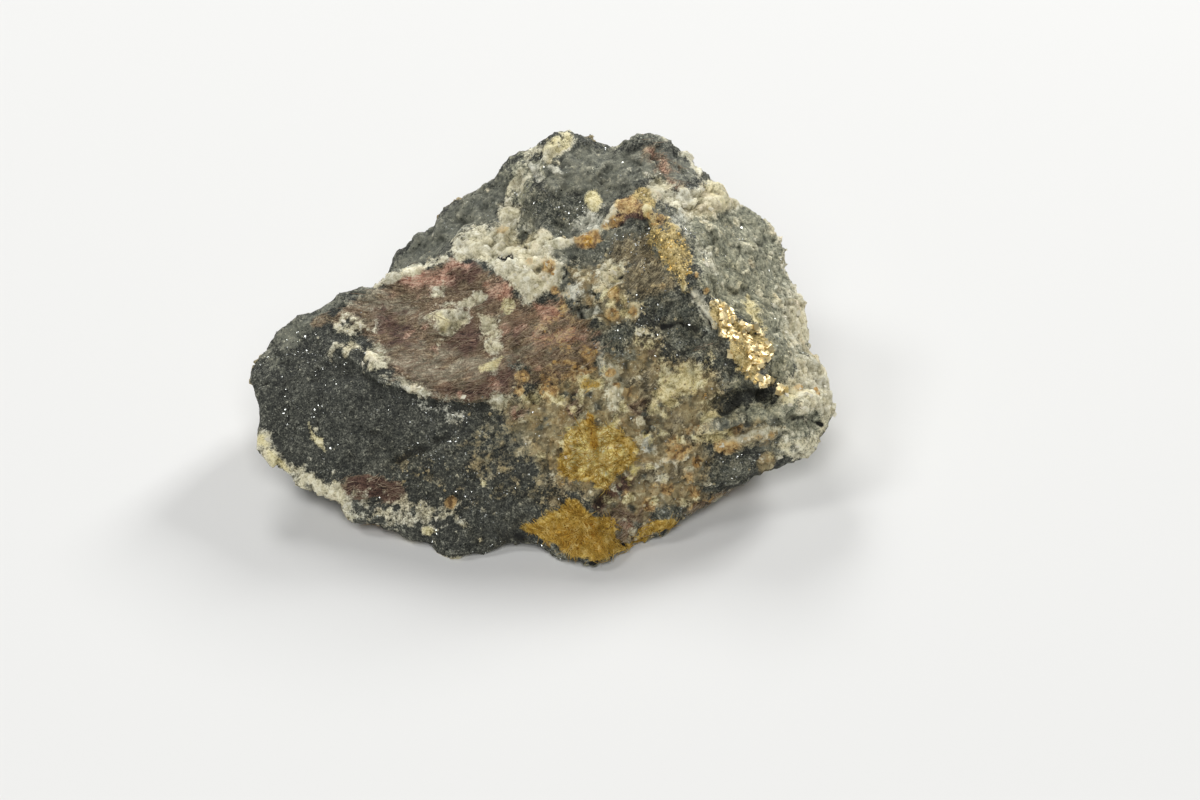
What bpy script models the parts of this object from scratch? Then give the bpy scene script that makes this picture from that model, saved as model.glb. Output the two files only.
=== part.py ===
# A hand piece of naumannite ore: one broken lump of dark silver selenide ore, white gangue and iron stain.
# It rests on a small flat break. Run it from Blender's text editor, or with
# blender --background --python part.py

import math

import bmesh
import bpy
import numpy as np
from mathutils import Vector, kdtree, noise

MM = 0.001

# Driving dimensions, in millimetres. X runs to the right along the piece, Y to the back and Z up,
# all from a point on the table under the lowest front edge.
REST_HEIGHT = 0.35
HEART = Vector((-4.0, 14.5, 8.5))
SKIN_STEP = 0.42
SKIN_GAIN = 0.08
SKIN_TRIANGLES = 9600

# The front is measured as it is seen from one eye point: across and down in view pixels, then the height
# above the table. The eye looks at AIM on the table, down by LOOK_DOWN.
AIM = Vector((0.0, 21.9, 0.0))
EYE_DISTANCE = 406.0
LOOK_DOWN = math.radians(37.1)
LENS_PIXELS = 5000.0
VIEW_MIDDLE = (600.0, 400.0)

# Corners of the broken surface that the eye sees, edge by edge, as (across, down, height).
SEEN_CORNERS = {
    "lower front edge": [
        (266, 466, 4.2), (292, 487, 3.2), (329, 499, 2.6), (348, 526, 1.6), (390, 532, 1.2),
        (425, 542, 1.0), (460, 562, 0.6), (490, 552, 0.7), (520, 544, 1.2), (546, 556, 0.8),
        (562, 571, 0.6), (588, 578, 0.6), (611, 568, 0.7), (632, 550, 0.8), (652, 537, 1.0),
        (690, 516, 1.6), (724, 491, 2.2), (750, 456, 3.0), (766, 468, 3.0), (805, 469, 3.6),
        (823, 449, 4.6), (830, 431, 5.4),
    ],
    "left end": [
        (254, 441, 5.0), (262, 407, 7.0), (252, 375, 8.2), (259, 347, 9.6), (275, 328, 10.8),
    ],
    "crest of the left lobe": [
        (299, 315, 11.8), (331, 304, 12.6), (360, 288, 13.4), (388, 277, 14.2), (415, 272, 14.8),
        (438, 262, 15.4), (462, 240, 16.0),
    ],
    "upper left edge": [
        (397, 258, 10.5), (401, 251, 11.5), (429, 246, 13.0), (439, 221, 14.4), (450, 206, 15.2),
        (480, 194, 16.8), (504, 179, 18.0), (518, 152, 19.4),
    ],
    "two summits": [
        (535, 146, 20.2), (556, 134, 21.4), (578, 136, 21.4), (600, 149, 20.8), (614, 149, 20.8),
        (632, 135, 21.8), (650, 131, 22.0), (669, 137, 21.4), (684, 148, 20.4), (695, 153, 19.8),
    ],
    "right edge": [
        (699, 186, 18.6), (717, 195, 17.6), (733, 217, 16.8), (767, 216, 15.2), (780, 236, 14.0),
        (790, 265, 12.4), (794, 290, 11.2), (803, 315, 10.0), (805, 338, 9.2), (816, 362, 8.2),
        (829, 393, 7.2), (836, 411, 6.4),
    ],
    "sharp ridge": [
        (645, 207, 20.2), (668, 243, 18.8), (692, 285, 16.9), (715, 320, 15.2), (738, 352, 13.5),
        (766, 388, 11.2), (795, 402, 9.0),
    ],
    "right face": [
        (680, 200, 19.4), (705, 225, 18.0), (745, 250, 16.0), (735, 290, 15.2), (765, 320, 13.4),
        (775, 355, 11.6), (800, 375, 9.4),
    ],
    "brow of the dark face": [
        (300, 335, 11.0), (335, 352, 11.2), (375, 382, 10.9), (410, 392, 10.7), (450, 403, 10.3),
        (495, 402, 10.2), (530, 398, 10.4),
    ],
    "dark face": [
        (290, 390, 8.4), (330, 420, 7.6), (380, 440, 7.0), (430, 470, 5.6), (480, 480, 5.0),
        (310, 455, 5.2), (350, 485, 4.0), (400, 500, 3.4), (445, 515, 2.8), (540, 470, 6.0),
    ],
    "brown face": [
        (340, 325, 12.2), (400, 310, 13.2), (400, 350, 12.0), (450, 300, 14.0), (455, 350, 12.4),
        (500, 300, 14.6), (510, 350, 12.8), (560, 310, 14.8), (580, 350, 12.8),
    ],
    "white knots": [
        (485, 250, 16.0), (522, 246, 15.8), (545, 235, 17.4), (505, 275, 15.8), (555, 268, 16.6),
        (500, 215, 17.2), (535, 205, 18.4),
    ],
    "summit face": [
        (545, 180, 20.0), (590, 170, 20.6), (585, 205, 19.0), (620, 190, 20.2), (620, 228, 18.8),
        (585, 250, 17.4), (640, 170, 21.0), (665, 165, 21.0),
    ],
    "front right face": [
        (600, 290, 15.8), (640, 270, 17.2), (650, 320, 14.8), (610, 340, 13.2), (690, 335, 13.9),
        (650, 365, 12.0), (720, 365, 12.2), (690, 385, 10.8), (600, 395, 10.4), (650, 410, 9.4),
    ],
    "lower right ledges": [
        (745, 397, 9.0), (725, 402, 9.2), (770, 405, 9.0), (715, 425, 8.3), (790, 425, 7.4),
        (680, 430, 8.2), (745, 440, 6.6), (800, 440, 5.6), (735, 465, 4.6), (700, 465, 5.4),
        (660, 460, 6.6), (650, 495, 3.8), (700, 490, 3.2),
    ],
    "ochre front": [
        (560, 420, 9.2), (600, 445, 8.0), (560, 500, 4.0), (600, 480, 5.6), (595, 505, 4.2),
        (570, 532, 2.6), (620, 520, 2.6), (560, 450, 7.4),
    ],
}

# Corners of the sides that the eye doesn't see, as (x, y, z).
HIDDEN_CORNERS = {
    "furrow behind the crest": [
        (-19.5, 21.6, 10.6), (-16.4, 22.8, 11.2), (-13.6, 22.6, 12.8), (-11.6, 23.2, 14.4),
    ],
    "back of the left lobe": [
        (-27.0, 17.4, 7.4), (-25.4, 19.0, 8.8), (-22.4, 21.0, 8.6), (-24.6, 19.6, 4.8),
        (-20.4, 23.4, 5.4),
    ],
    "back face": [
        (-17.0, 27.4, 7.0), (-12.0, 29.6, 11.0), (-7.0, 31.0, 14.6), (-1.0, 31.0, 16.2),
        (5.0, 30.6, 16.0), (-15.0, 27.2, 3.4), (-9.0, 30.6, 6.8), (-2.0, 31.8, 9.4),
        (5.0, 31.2, 9.0), (10.6, 28.8, 11.4), (13.8, 26.6, 8.6), (9.4, 28.6, 5.2), (1.0, 30.4, 3.8),
        (-7.0, 29.4, 2.4), (15.6, 22.6, 6.2), (13.6, 23.4, 3.6),
    ],
    "underside": [
        (-23.4, 12.8, 2.8), (-24.0, 16.6, 3.6), (-18.4, 13.2, 0.9), (-18.6, 19.6, 2.2),
        (-13.0, 9.0, -0.3), (-12.0, 16.0, -0.8), (-12.0, 23.6, 0.6), (-4.0, 8.0, -0.8),
        (-4.0, 16.0, -1.0), (-4.0, 24.6, -0.2), (4.0, 9.4, -0.5), (4.6, 16.6, -0.9),
        (4.0, 24.6, 0.3), (10.4, 13.4, 1.2), (10.6, 20.4, 1.4), (14.8, 14.0, 3.0),
        (15.6, 18.4, 4.0), (-4.0, 3.6, 0.0), (-9.0, 4.4, 0.1),
    ],
}

# Relief that the eye sees, as (line of (across, down), half width in mm, rise in mm). A knot is a line of
# one point.
SEEN_RELIEF = [
    # ridge with the golden edge, and the thin white edge of the vein
    ([(650, 215), (668, 243), (692, 285), (715, 320), (738, 352), (764, 386)], 1.2, 0.45),
    ([(396, 277), (438, 262), (470, 243)], 0.8, 0.40),
    # lumps of the white vein
    ([(478, 246)], 1.7, 0.60),
    ([(512, 272)], 2.2, 0.80),
    ([(548, 236)], 1.7, 0.65),
    ([(556, 268)], 1.3, 0.60),
    ([(500, 224)], 1.3, 0.45),
    ([(455, 262)], 1.0, 0.40),
    # lumps beside the summit and down the front right face
    ([(668, 200)], 1.8, 0.60),
    ([(712, 206)], 1.8, 0.55),
    ([(608, 341)], 0.9, 0.40),
    ([(631, 303)], 0.9, 0.40),
    ([(600, 282)], 1.1, 0.45),
    ([(640, 268), (684, 290)], 1.2, 0.35),
    # brown face
    ([(439, 323)], 1.9, 0.55),
    ([(379, 366)], 1.5, 0.45),
    ([(540, 330), (585, 345)], 1.3, 0.40),
    # ledges of the lower right, and the brown crystal under them
    ([(700, 428), (750, 417), (806, 408)], 1.0, 0.55),
    ([(690, 452), (745, 436), (806, 428)], 0.9, 0.45),
    ([(690, 478), (735, 462), (790, 447)], 1.0, 0.50),
    ([(767, 463)], 1.2, 0.55),
    ([(800, 443)], 1.6, 0.50),
    # lumps of the lower left rim
    ([(270, 452)], 1.3, 0.45),
    ([(322, 478)], 1.3, 0.40),
    ([(372, 512)], 1.5, 0.50),
    ([(420, 518)], 1.7, 0.55),
    ([(456, 522)], 1.2, 0.40),
    # ochre crusts
    ([(597, 452)], 2.6, 0.35),
    ([(560, 535), (590, 548)], 1.8, 0.35),
    # gaps between the vein's lumps
    ([(524, 244)], 1.2, -0.85),
    ([(497, 260)], 0.9, -0.70),
    ([(574, 256)], 1.0, -0.80),
    ([(588, 306)], 1.1, -0.70),
    ([(543, 384), (532, 402)], 0.9, -0.75),
    ([(366, 368)], 0.8, -0.40),
    # step under the brow, and the furrow of the dark face
    ([(340, 366), (380, 394), (430, 408), (495, 412)], 1.0, -0.50),
    ([(395, 458), (430, 442), (452, 433)], 0.8, -0.55),
    # hollow under the sharp ridge, and the gaps under the ledges
    ([(716, 406), (743, 397), (766, 400)], 1.3, -0.85),
    ([(770, 425), (812, 418)], 0.7, -0.60),
    ([(700, 440), (752, 427)], 0.7, -0.45),
    ([(600, 498)], 1.3, -0.70),
    # step above the lower left rim
    ([(300, 470), (345, 492), (400, 492), (460, 505)], 0.9, -0.50),
]

# Seen relief fades out where the skin turns this far from facing the eye (cosine).
RELIEF_FADE = 0.25

# Relief of the hidden sides, as (line of (x, y, z), half width, rise).
HIDDEN_RELIEF = [
    ([(-14.0, 27.0, 12.0), (-6.0, 31.0, 10.0), (6.0, 31.0, 11.0)], 1.6, 0.70),
    ([(-16.0, 27.0, 5.0), (-4.0, 31.0, 6.4), (10.0, 29.0, 7.0)], 1.3, -0.60),
    ([(-22.0, 21.0, 7.0)], 2.4, 0.70),
    ([(-9.0, 30.0, 9.0)], 2.6, 0.80),
    ([(8.0, 29.8, 13.0)], 2.4, 0.70),
    ([(1.0, 31.4, 7.0)], 2.0, -0.80),
    ([(14.6, 24.6, 9.0)], 2.0, 0.60),
]

# The break is made of small flat plates at slightly different levels: (seed, count, level, tilt) for each
# size. Broad swells and small bumps lie over them: (size, height).
PLATE_LAYERS = [(47, 520, 0.32, 0.10), (11, 3600, 0.15, 0.10)]
PLATE_WARP = 1.2
PLATE_WARP_SIZE = 2.5
PLATE_WARP_OFFSETS = (9.3, 31.7, 57.1)
BUMP_LAYERS = [(5.5, 0.40), (2.2, 0.22), (1.0, 0.12)]


def look_axes():
    """The eye's place, and the directions that it sees as across, down and away."""
    away = Vector((0.0, math.cos(LOOK_DOWN), -math.sin(LOOK_DOWN)))
    down = Vector((0.0, -math.sin(LOOK_DOWN), -math.cos(LOOK_DOWN)))
    return AIM - away * EYE_DISTANCE, Vector((1.0, 0.0, 0.0)), down, away


def place_of(across, down, height):
    """The point at this height that the eye sees at this place of its view."""
    eye, right, below, away = look_axes()
    side = (across - VIEW_MIDDLE[0]) / LENS_PIXELS
    drop = (down - VIEW_MIDDLE[1]) / LENS_PIXELS
    sight = away + right * side + below * drop
    return eye + sight * (height - eye.z) / sight.z


def view_of(places):
    """Where the eye sees each of these points, and the direction from each to the eye."""
    eye, right, below, away = (np.array(item) for item in look_axes())
    offsets = places - eye
    depths = offsets @ away
    across = VIEW_MIDDLE[0] + LENS_PIXELS * (offsets @ right) / depths
    down = VIEW_MIDDLE[1] + LENS_PIXELS * (offsets @ below) / depths
    return np.stack([across, down], axis=1), -offsets / np.linalg.norm(offsets, axis=1, keepdims=True)


def all_corners():
    seen = [place_of(*corner) for group in SEEN_CORNERS.values() for corner in group]
    hidden = [Vector(corner) for group in HIDDEN_CORNERS.values() for corner in group]
    return seen + hidden


def cage():
    """Closed surface through the corners: neighbours seen from the heart of the piece are joined."""
    corners = all_corners()
    bm = bmesh.new()
    for corner in corners:
        bm.verts.new((corner - HEART).normalized())
    bmesh.ops.convex_hull(bm, input=bm.verts)
    bm.verts.ensure_lookup_table()
    for vert, corner in zip(bm.verts, corners):
        vert.co = corner * MM
    bmesh.ops.recalc_face_normals(bm, faces=bm.faces)
    return bm


def mesh_object(name, bm):
    mesh = bpy.data.meshes.new(name)
    bm.to_mesh(mesh)
    bm.free()
    obj = bpy.data.objects.new(name, mesh)
    bpy.context.scene.collection.objects.link(obj)
    return obj


def with_modifier(obj, kind, **settings):
    """Applies one modifier to the object's own mesh."""
    modifier = obj.modifiers.new(kind.title(), kind)
    for key, value in settings.items():
        setattr(modifier, key, value)
    graph = bpy.context.evaluated_depsgraph_get()
    made = bpy.data.meshes.new_from_object(obj.evaluated_get(graph))
    obj.modifiers.clear()
    obj.data = made


def skin_points(mesh):
    """The mesh's points in millimetres, and the outward direction at each of them."""
    places = np.array([vert.co for vert in mesh.vertices], np.float64) / MM
    mesh.calc_loop_triangles()
    faces = np.array([triangle.vertices for triangle in mesh.loop_triangles])
    first, second, third = (places[faces[:, k]] for k in range(3))
    across = np.cross(second - first, third - first)
    outward = np.zeros_like(places)
    for k in range(3):
        np.add.at(outward, faces[:, k], across)
    return places, outward / np.linalg.norm(outward, axis=1, keepdims=True)


def distance_to_line(points, line):
    """Distance from each point to a line of straight runs, or to its only point."""
    line = np.array(line, float)
    nearest = np.linalg.norm(points - line[0], axis=1)
    for start, end in zip(line[:-1], line[1:]):
        run = end - start
        share = np.clip((points - start) @ run / (run @ run), 0, 1)
        nearest = np.minimum(nearest, np.linalg.norm(points - start - share[:, None] * run, axis=1))
    return nearest


def dome(distances, half_width):
    """1 in the middle of a relief line, falling to 0 at its rim."""
    share = np.minimum(distances / half_width, 1.0)
    return (1 - share ** 2) ** 2


def relief_rises(places, outward):
    """Knots, ledges, grooves and pits, on the side that the eye sees and on the hidden sides."""
    seen, to_eye = view_of(places)
    facing = np.clip(np.sum(outward * to_eye, axis=1) / RELIEF_FADE, 0, 1)
    pixels = LENS_PIXELS / EYE_DISTANCE
    rises = np.zeros(len(places))
    for line, half_width, rise in SEEN_RELIEF:
        rises += rise * facing * dome(distance_to_line(seen, line), half_width * pixels)
    for line, half_width, rise in HIDDEN_RELIEF:
        rises += rise * dome(distance_to_line(places, line), half_width)
    return rises


def warped(place):
    """The place pushed about a little, so that the rims of the plates aren't straight."""
    here = place / PLATE_WARP_SIZE
    push = [noise.noise(here + Vector((offset, 0, 0))) for offset in PLATE_WARP_OFFSETS]
    return place + Vector(push) * PLATE_WARP


def plate_rises(places, seed, count, level, tilt):
    """Each point takes the level and the tilt of the plate whose middle is nearest."""
    rng = np.random.default_rng(seed)
    middles = rng.uniform(places.min(0), places.max(0), (count, 3))
    levels = rng.uniform(-level, level, count)
    tilts = rng.uniform(-tilt, tilt, (count, 3))
    tree = kdtree.KDTree(count)
    for number, middle in enumerate(middles):
        tree.insert(middle, number)
    tree.balance()
    rises = np.zeros(len(places))
    for index, point in enumerate(places):
        middle, number, _ = tree.find(warped(Vector(point)))
        rises[index] = levels[number] + np.dot(point - np.array(middle), tilts[number])
    return rises


def bump_rises(places, size, height):
    return height * np.array([noise.noise(Vector(point / size)) for point in places])


def roughen(obj):
    """Moves the skin in and out: relief first, then plates, then bumps."""
    places, outward = skin_points(obj.data)
    rises = SKIN_GAIN + relief_rises(places, outward)
    for layer in PLATE_LAYERS:
        rises += plate_rises(places, *layer)
    for layer in BUMP_LAYERS:
        rises += bump_rises(places, *layer)
    moved = (places + outward * rises[:, None]) * MM
    obj.data.vertices.foreach_set("co", moved.astype(np.float32).ravel())


def keep_outer_shell(obj):
    """Drops the small closed bubbles that folds of the skin leave inside the piece."""
    bm = bmesh.new()
    bm.from_mesh(obj.data)
    waiting = set(bm.verts)
    shells = []
    while waiting:
        shell = {waiting.pop()}
        edge_of_search = list(shell)
        while edge_of_search:
            vert = edge_of_search.pop()
            for edge in vert.link_edges:
                other = edge.other_vert(vert)
                if other not in shell:
                    shell.add(other)
                    edge_of_search.append(other)
        waiting -= shell
        shells.append(shell)
    shells.sort(key=len)
    for shell in shells[:-1]:
        bmesh.ops.delete(bm, geom=list(shell), context="VERTS")
    bm.to_mesh(obj.data)
    bm.free()


def cut_rest(obj):
    """Cuts the underside flat, so that the piece stands on one real face."""
    bm = bmesh.new()
    bm.from_mesh(obj.data)
    cut = bmesh.ops.bisect_plane(
        bm, geom=bm.verts[:] + bm.edges[:] + bm.faces[:], dist=1e-7,
        plane_co=(0, 0, REST_HEIGHT * MM), plane_no=(0, 0, 1), clear_inner=True,
    )
    rim = [item for item in cut["geom_cut"] if isinstance(item, bmesh.types.BMEdge)]
    bmesh.ops.triangle_fill(bm, edges=rim, use_beauty=True, normal=(0, 0, -1))
    bmesh.ops.triangulate(bm, faces=bm.faces[:])
    bmesh.ops.recalc_face_normals(bm, faces=bm.faces)
    bm.to_mesh(obj.data)
    bm.free()


def centre(obj):
    """Puts the origin on the table under the middle of the piece."""
    places = np.array([vert.co for vert in obj.data.vertices])
    low, high = places.min(0), places.max(0)
    shift = Vector((-(low[0] + high[0]) / 2, -(low[1] + high[1]) / 2, -low[2]))
    print("origin moved by", [round(value / MM, 3) for value in shift])
    for vert in obj.data.vertices:
        vert.co += shift


def ore_material():
    material = bpy.data.materials.new("ore")
    material.use_nodes = True
    shader = material.node_tree.nodes["Principled BSDF"]
    shader.inputs["Base Color"].default_value = (0.13, 0.125, 0.115, 1)
    shader.inputs["Roughness"].default_value = 0.75
    shader.inputs["Metallic"].default_value = 0.0
    return material


def main():
    for old in list(bpy.data.objects):
        bpy.data.objects.remove(old)
    piece = mesh_object("naumannite_ore", cage())
    with_modifier(piece, "REMESH", mode="VOXEL", voxel_size=SKIN_STEP * MM)
    roughen(piece)
    with_modifier(piece, "REMESH", mode="VOXEL", voxel_size=SKIN_STEP * MM)
    keep_outer_shell(piece)
    with_modifier(piece, "TRIANGULATE")
    with_modifier(piece, "DECIMATE", ratio=SKIN_TRIANGLES / len(piece.data.polygons))
    cut_rest(piece)
    centre(piece)
    piece.data.shade_smooth()
    piece.data.materials.clear()
    piece.data.materials.append(ore_material())


main()
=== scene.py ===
import math

import bmesh
import bpy
import numpy as np
from mathutils import Euler, Matrix, Vector, noise


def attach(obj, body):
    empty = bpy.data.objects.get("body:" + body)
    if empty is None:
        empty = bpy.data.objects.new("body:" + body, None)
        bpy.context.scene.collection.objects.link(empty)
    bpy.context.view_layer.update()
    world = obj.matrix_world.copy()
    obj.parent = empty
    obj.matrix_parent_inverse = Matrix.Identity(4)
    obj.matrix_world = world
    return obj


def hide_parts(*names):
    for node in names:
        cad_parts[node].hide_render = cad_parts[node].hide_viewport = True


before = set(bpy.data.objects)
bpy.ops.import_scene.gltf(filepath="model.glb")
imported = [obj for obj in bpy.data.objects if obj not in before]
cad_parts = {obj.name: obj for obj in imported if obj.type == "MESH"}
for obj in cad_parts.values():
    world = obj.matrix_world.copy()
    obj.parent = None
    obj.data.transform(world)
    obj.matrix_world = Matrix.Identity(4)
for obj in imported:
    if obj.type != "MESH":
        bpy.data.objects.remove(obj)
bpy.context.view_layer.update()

# The broken face of a naumannite ore lump, dressed as it is in the photo. Sizes are in millimetres until a
# mesh is made, and places named by the photo are pixels of its 1200 x 800 picture.
mm = 0.001
scene = bpy.context.scene

photo = {
    "eye": Vector((4.619, -317.75, 244.55)),   # mm from the part's origin
    "lookDown": math.radians(37.1),
    "lensPixels": 5000.0,
    "distance": 395.0,                         # mm from the eye to the middle of the piece
    "middle": (600.0, 400.0),
    "width": 1200,
    "sensorWidth": 36.0,
    "nearest": 0.01,                           # metres
    "farthest": 20,
}
pixelsPerMm = photo["lensPixels"] / photo["distance"]


def photoAxes():
    away = Vector((0, math.cos(photo["lookDown"]), -math.sin(photo["lookDown"])))
    up = Vector((0, math.sin(photo["lookDown"]), math.cos(photo["lookDown"])))
    return Vector((1, 0, 0)), up, away


def seenAt(points):   # photo pixels of points in mm, and the direction from each to the eye
    right, up, away = (np.array(axis) for axis in photoAxes())
    offsets = points - np.array(photo["eye"])
    depths = offsets @ away
    across = photo["middle"][0] + photo["lensPixels"] * (offsets @ right) / depths
    down = photo["middle"][1] - photo["lensPixels"] * (offsets @ up) / depths
    toEye = -offsets / np.linalg.norm(offsets, axis=1, keepdims=True)
    return np.stack([across, down], axis=1), toEye


# Camera, floor and light

studio = {
    "floorColour": (0.73, 0.73, 0.717, 1),
    "floorSize": 3.0,
    "worldColour": (1.0, 0.995, 0.985, 1),
    "worldStrength": 0.04,
    # name, direction in degrees round the piece, height in degrees, side in metres, watts
    "lights": [
        ("right_back_softbox", 48, 32, 0.18, 2.8),
        ("left_back_softbox", 108, 40, 0.20, 1.9),
        ("left_softbox", 186, 52, 0.16, 0.9),
        ("front_softbox", 268, 48, 0.32, 2.35),
    ],
    "lightDistance": 0.65,
    "aim": (0, 0, 0.004),
}


def setCamera():
    lens = bpy.data.cameras.new("photo_camera")
    lens.sensor_width = photo["sensorWidth"]
    lens.lens = photo["sensorWidth"] * photo["lensPixels"] / photo["width"]
    lens.clip_start = photo["nearest"]
    lens.clip_end = photo["farthest"]
    camera = bpy.data.objects.new("photo_camera", lens)
    scene.collection.objects.link(camera)
    camera.location = photo["eye"] * mm
    camera.rotation_mode = "QUATERNION"
    camera.rotation_quaternion = photoAxes()[2].to_track_quat("-Z", "Y")
    scene.camera = camera


def newObject(name, points, faces):
    mesh = bpy.data.meshes.new(name)
    mesh.from_pydata(points, [], faces)
    mesh.update()
    made = bpy.data.objects.new(name, mesh)
    scene.collection.objects.link(made)
    return made


def setStudio():
    half = studio["floorSize"] / 2
    corners = [(-half, -half, 0), (half, -half, 0), (half, half, 0), (-half, half, 0)]
    floor = newObject("floor", corners, [(0, 1, 2, 3)])
    paper = Finish("pale_paper")
    paper.shader({"Base Color": studio["floorColour"], "Roughness": 0.9, "Specular IOR Level": 0.1})
    floor.data.materials.append(paper.material)
    world = bpy.data.worlds.new("soft_room")
    world.use_nodes = True
    sky = world.node_tree.nodes["Background"]
    sky.inputs["Color"].default_value = studio["worldColour"]
    sky.inputs["Strength"].default_value = studio["worldStrength"]
    scene.world = world
    for name, heading, high, side, watts in studio["lights"]:
        lamp = bpy.data.lights.new(name, "AREA")
        lamp.size = side
        lamp.energy = watts
        place = Euler((0, -math.radians(high), math.radians(heading))).to_matrix() @ Vector((1, 0, 0))
        place *= studio["lightDistance"]
        light = bpy.data.objects.new(name, lamp)
        light.location = place
        light.rotation_mode = "QUATERNION"
        light.rotation_quaternion = (Vector(studio["aim"]) - place).to_track_quat("-Z", "Y")
        scene.collection.objects.link(light)
    scene.view_settings.view_transform = "Standard"


# Shader maths: a wire is one output of a node, and sums on it become Math nodes

class Wire:
    def __init__(self, finish, socket):
        self.finish = finish
        self.socket = socket

    def math(self, operation, first, second):
        return self.finish.node("ShaderNodeMath", {"operation": operation}, {0: first, 1: second})

    def __add__(self, other):
        return self.math("ADD", self, other)

    def __radd__(self, other):
        return self.math("ADD", other, self)

    def __sub__(self, other):
        return self.math("SUBTRACT", self, other)

    def __rsub__(self, other):
        return self.math("SUBTRACT", other, self)

    def __mul__(self, other):
        return self.math("MULTIPLY", self, other)

    def __rmul__(self, other):
        return self.math("MULTIPLY", other, self)

    def clamped(self):
        return self.finish.node("ShaderNodeClamp", {}, {0: self})


class Finish:   # one material, made node by node
    def __init__(self, name):
        self.material = bpy.data.materials.new(name)
        self.material.use_nodes = True
        self.tree = self.material.node_tree
        self.tree.nodes.clear()
        self.output = self.tree.nodes.new("ShaderNodeOutputMaterial")

    def plug(self, socket, value):
        if isinstance(value, Wire):
            self.tree.links.new(value.socket, socket)
        else:
            socket.default_value = value

    def node(self, kind, settings, inputs, output=0):
        made = self.tree.nodes.new(kind)
        for key, value in settings.items():
            if key == "stops":
                ramp = made.color_ramp
                while len(ramp.elements) < len(value):
                    ramp.elements.new(0.5)
                for element, (place, colour) in zip(ramp.elements, value):
                    element.position = place
                    element.color = (*colour, 1)
            else:
                setattr(made, key, value)
        for key, value in inputs.items():
            if isinstance(key, int):
                socket = made.inputs[key]
            else:
                socket = next(s for s in made.inputs if key in (s.identifier, s.name))
            self.plug(socket, value)
        if isinstance(output, int):
            return Wire(self, made.outputs[output])
        return Wire(self, next(s for s in made.outputs if output in (s.identifier, s.name)))

    def shader(self, inputs):
        self.plug(self.output.inputs["Surface"], self.node("ShaderNodeBsdfPrincipled", {}, inputs, "BSDF"))

    def places(self):   # place on the piece, in mm
        here = self.node("ShaderNodeTexCoord", {}, {}, "Object")
        return self.node("ShaderNodeVectorMath", {"operation": "SCALE"}, {"Vector": here, "Scale": 1 / mm})

    def noise(self, where, size, detail=2.0, roughness=0.5, distortion=0.0):
        inputs = {"Vector": where, "Scale": 1 / size, "Detail": detail, "Roughness": roughness,
                  "Distortion": distortion}
        return self.node("ShaderNodeTexNoise", {}, inputs, "Fac")

    def ramp(self, value, stops):
        return self.node("ShaderNodeValToRGB", {"stops": stops}, {0: value})

    def mix(self, share, first, second, kind="MIX"):
        return self.node("ShaderNodeMix", {"data_type": "RGBA", "blend_type": kind},
                         {"Factor_Float": share, "A_Color": first, "B_Color": second}, "Result_Color")

    def zone(self, name):
        return self.node("ShaderNodeAttribute", {"attribute_name": name}, {}, "Fac")

    def grain(self, name):   # a place kept on the mesh, along which the fibres run
        return self.node("ShaderNodeAttribute", {"attribute_name": name}, {}, "Vector")

    def bump(self, height, strength, distance):   # distance in mm
        inputs = {"Strength": strength, "Distance": distance * mm, "Height": height}
        return self.node("ShaderNodeBump", {}, inputs)


def rgb(red, green, blue):   # a colour as screen values 0 to 255
    def straight(value):
        value = value / 255
        return value / 12.92 if value <= 0.04045 else ((value + 0.055) / 1.055) ** 2.4
    return straight(red), straight(green), straight(blue)


# Patches of the broken face: what lies where, as outlines, streaks and spots in photo pixels. Soft is how far
# an edge fades, broken frays it, warp bends it, and strength thins the patch.

def area(soft, *outline, **how):
    return {"outline": outline, "soft": soft, **how}


def streak(width, soft, *line, **how):
    return {"streak": line, "width": width, "soft": soft, **how}


def spot(across, down, width, soft, **how):
    return {"spot": (across, down), "width": width, "soft": soft, **how}


goldRidge = area(4.5, (646, 218), (656, 214), (668, 220), (678, 230), (686, 242), (692, 256), (692, 272),
                 (690, 288), (683, 290), (672, 276), (662, 262), (655, 248), (650, 234), broken=0.3)
goldField = area(2.5, (708, 298), (722, 304), (736, 314), (752, 324), (768, 340), (772, 354), (763, 367),
                 (752, 377), (740, 372), (730, 353), (722, 334), (712, 316), broken=0.2)
goldTail = streak(7, 3, (752, 376), (766, 382), (782, 390))

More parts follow.
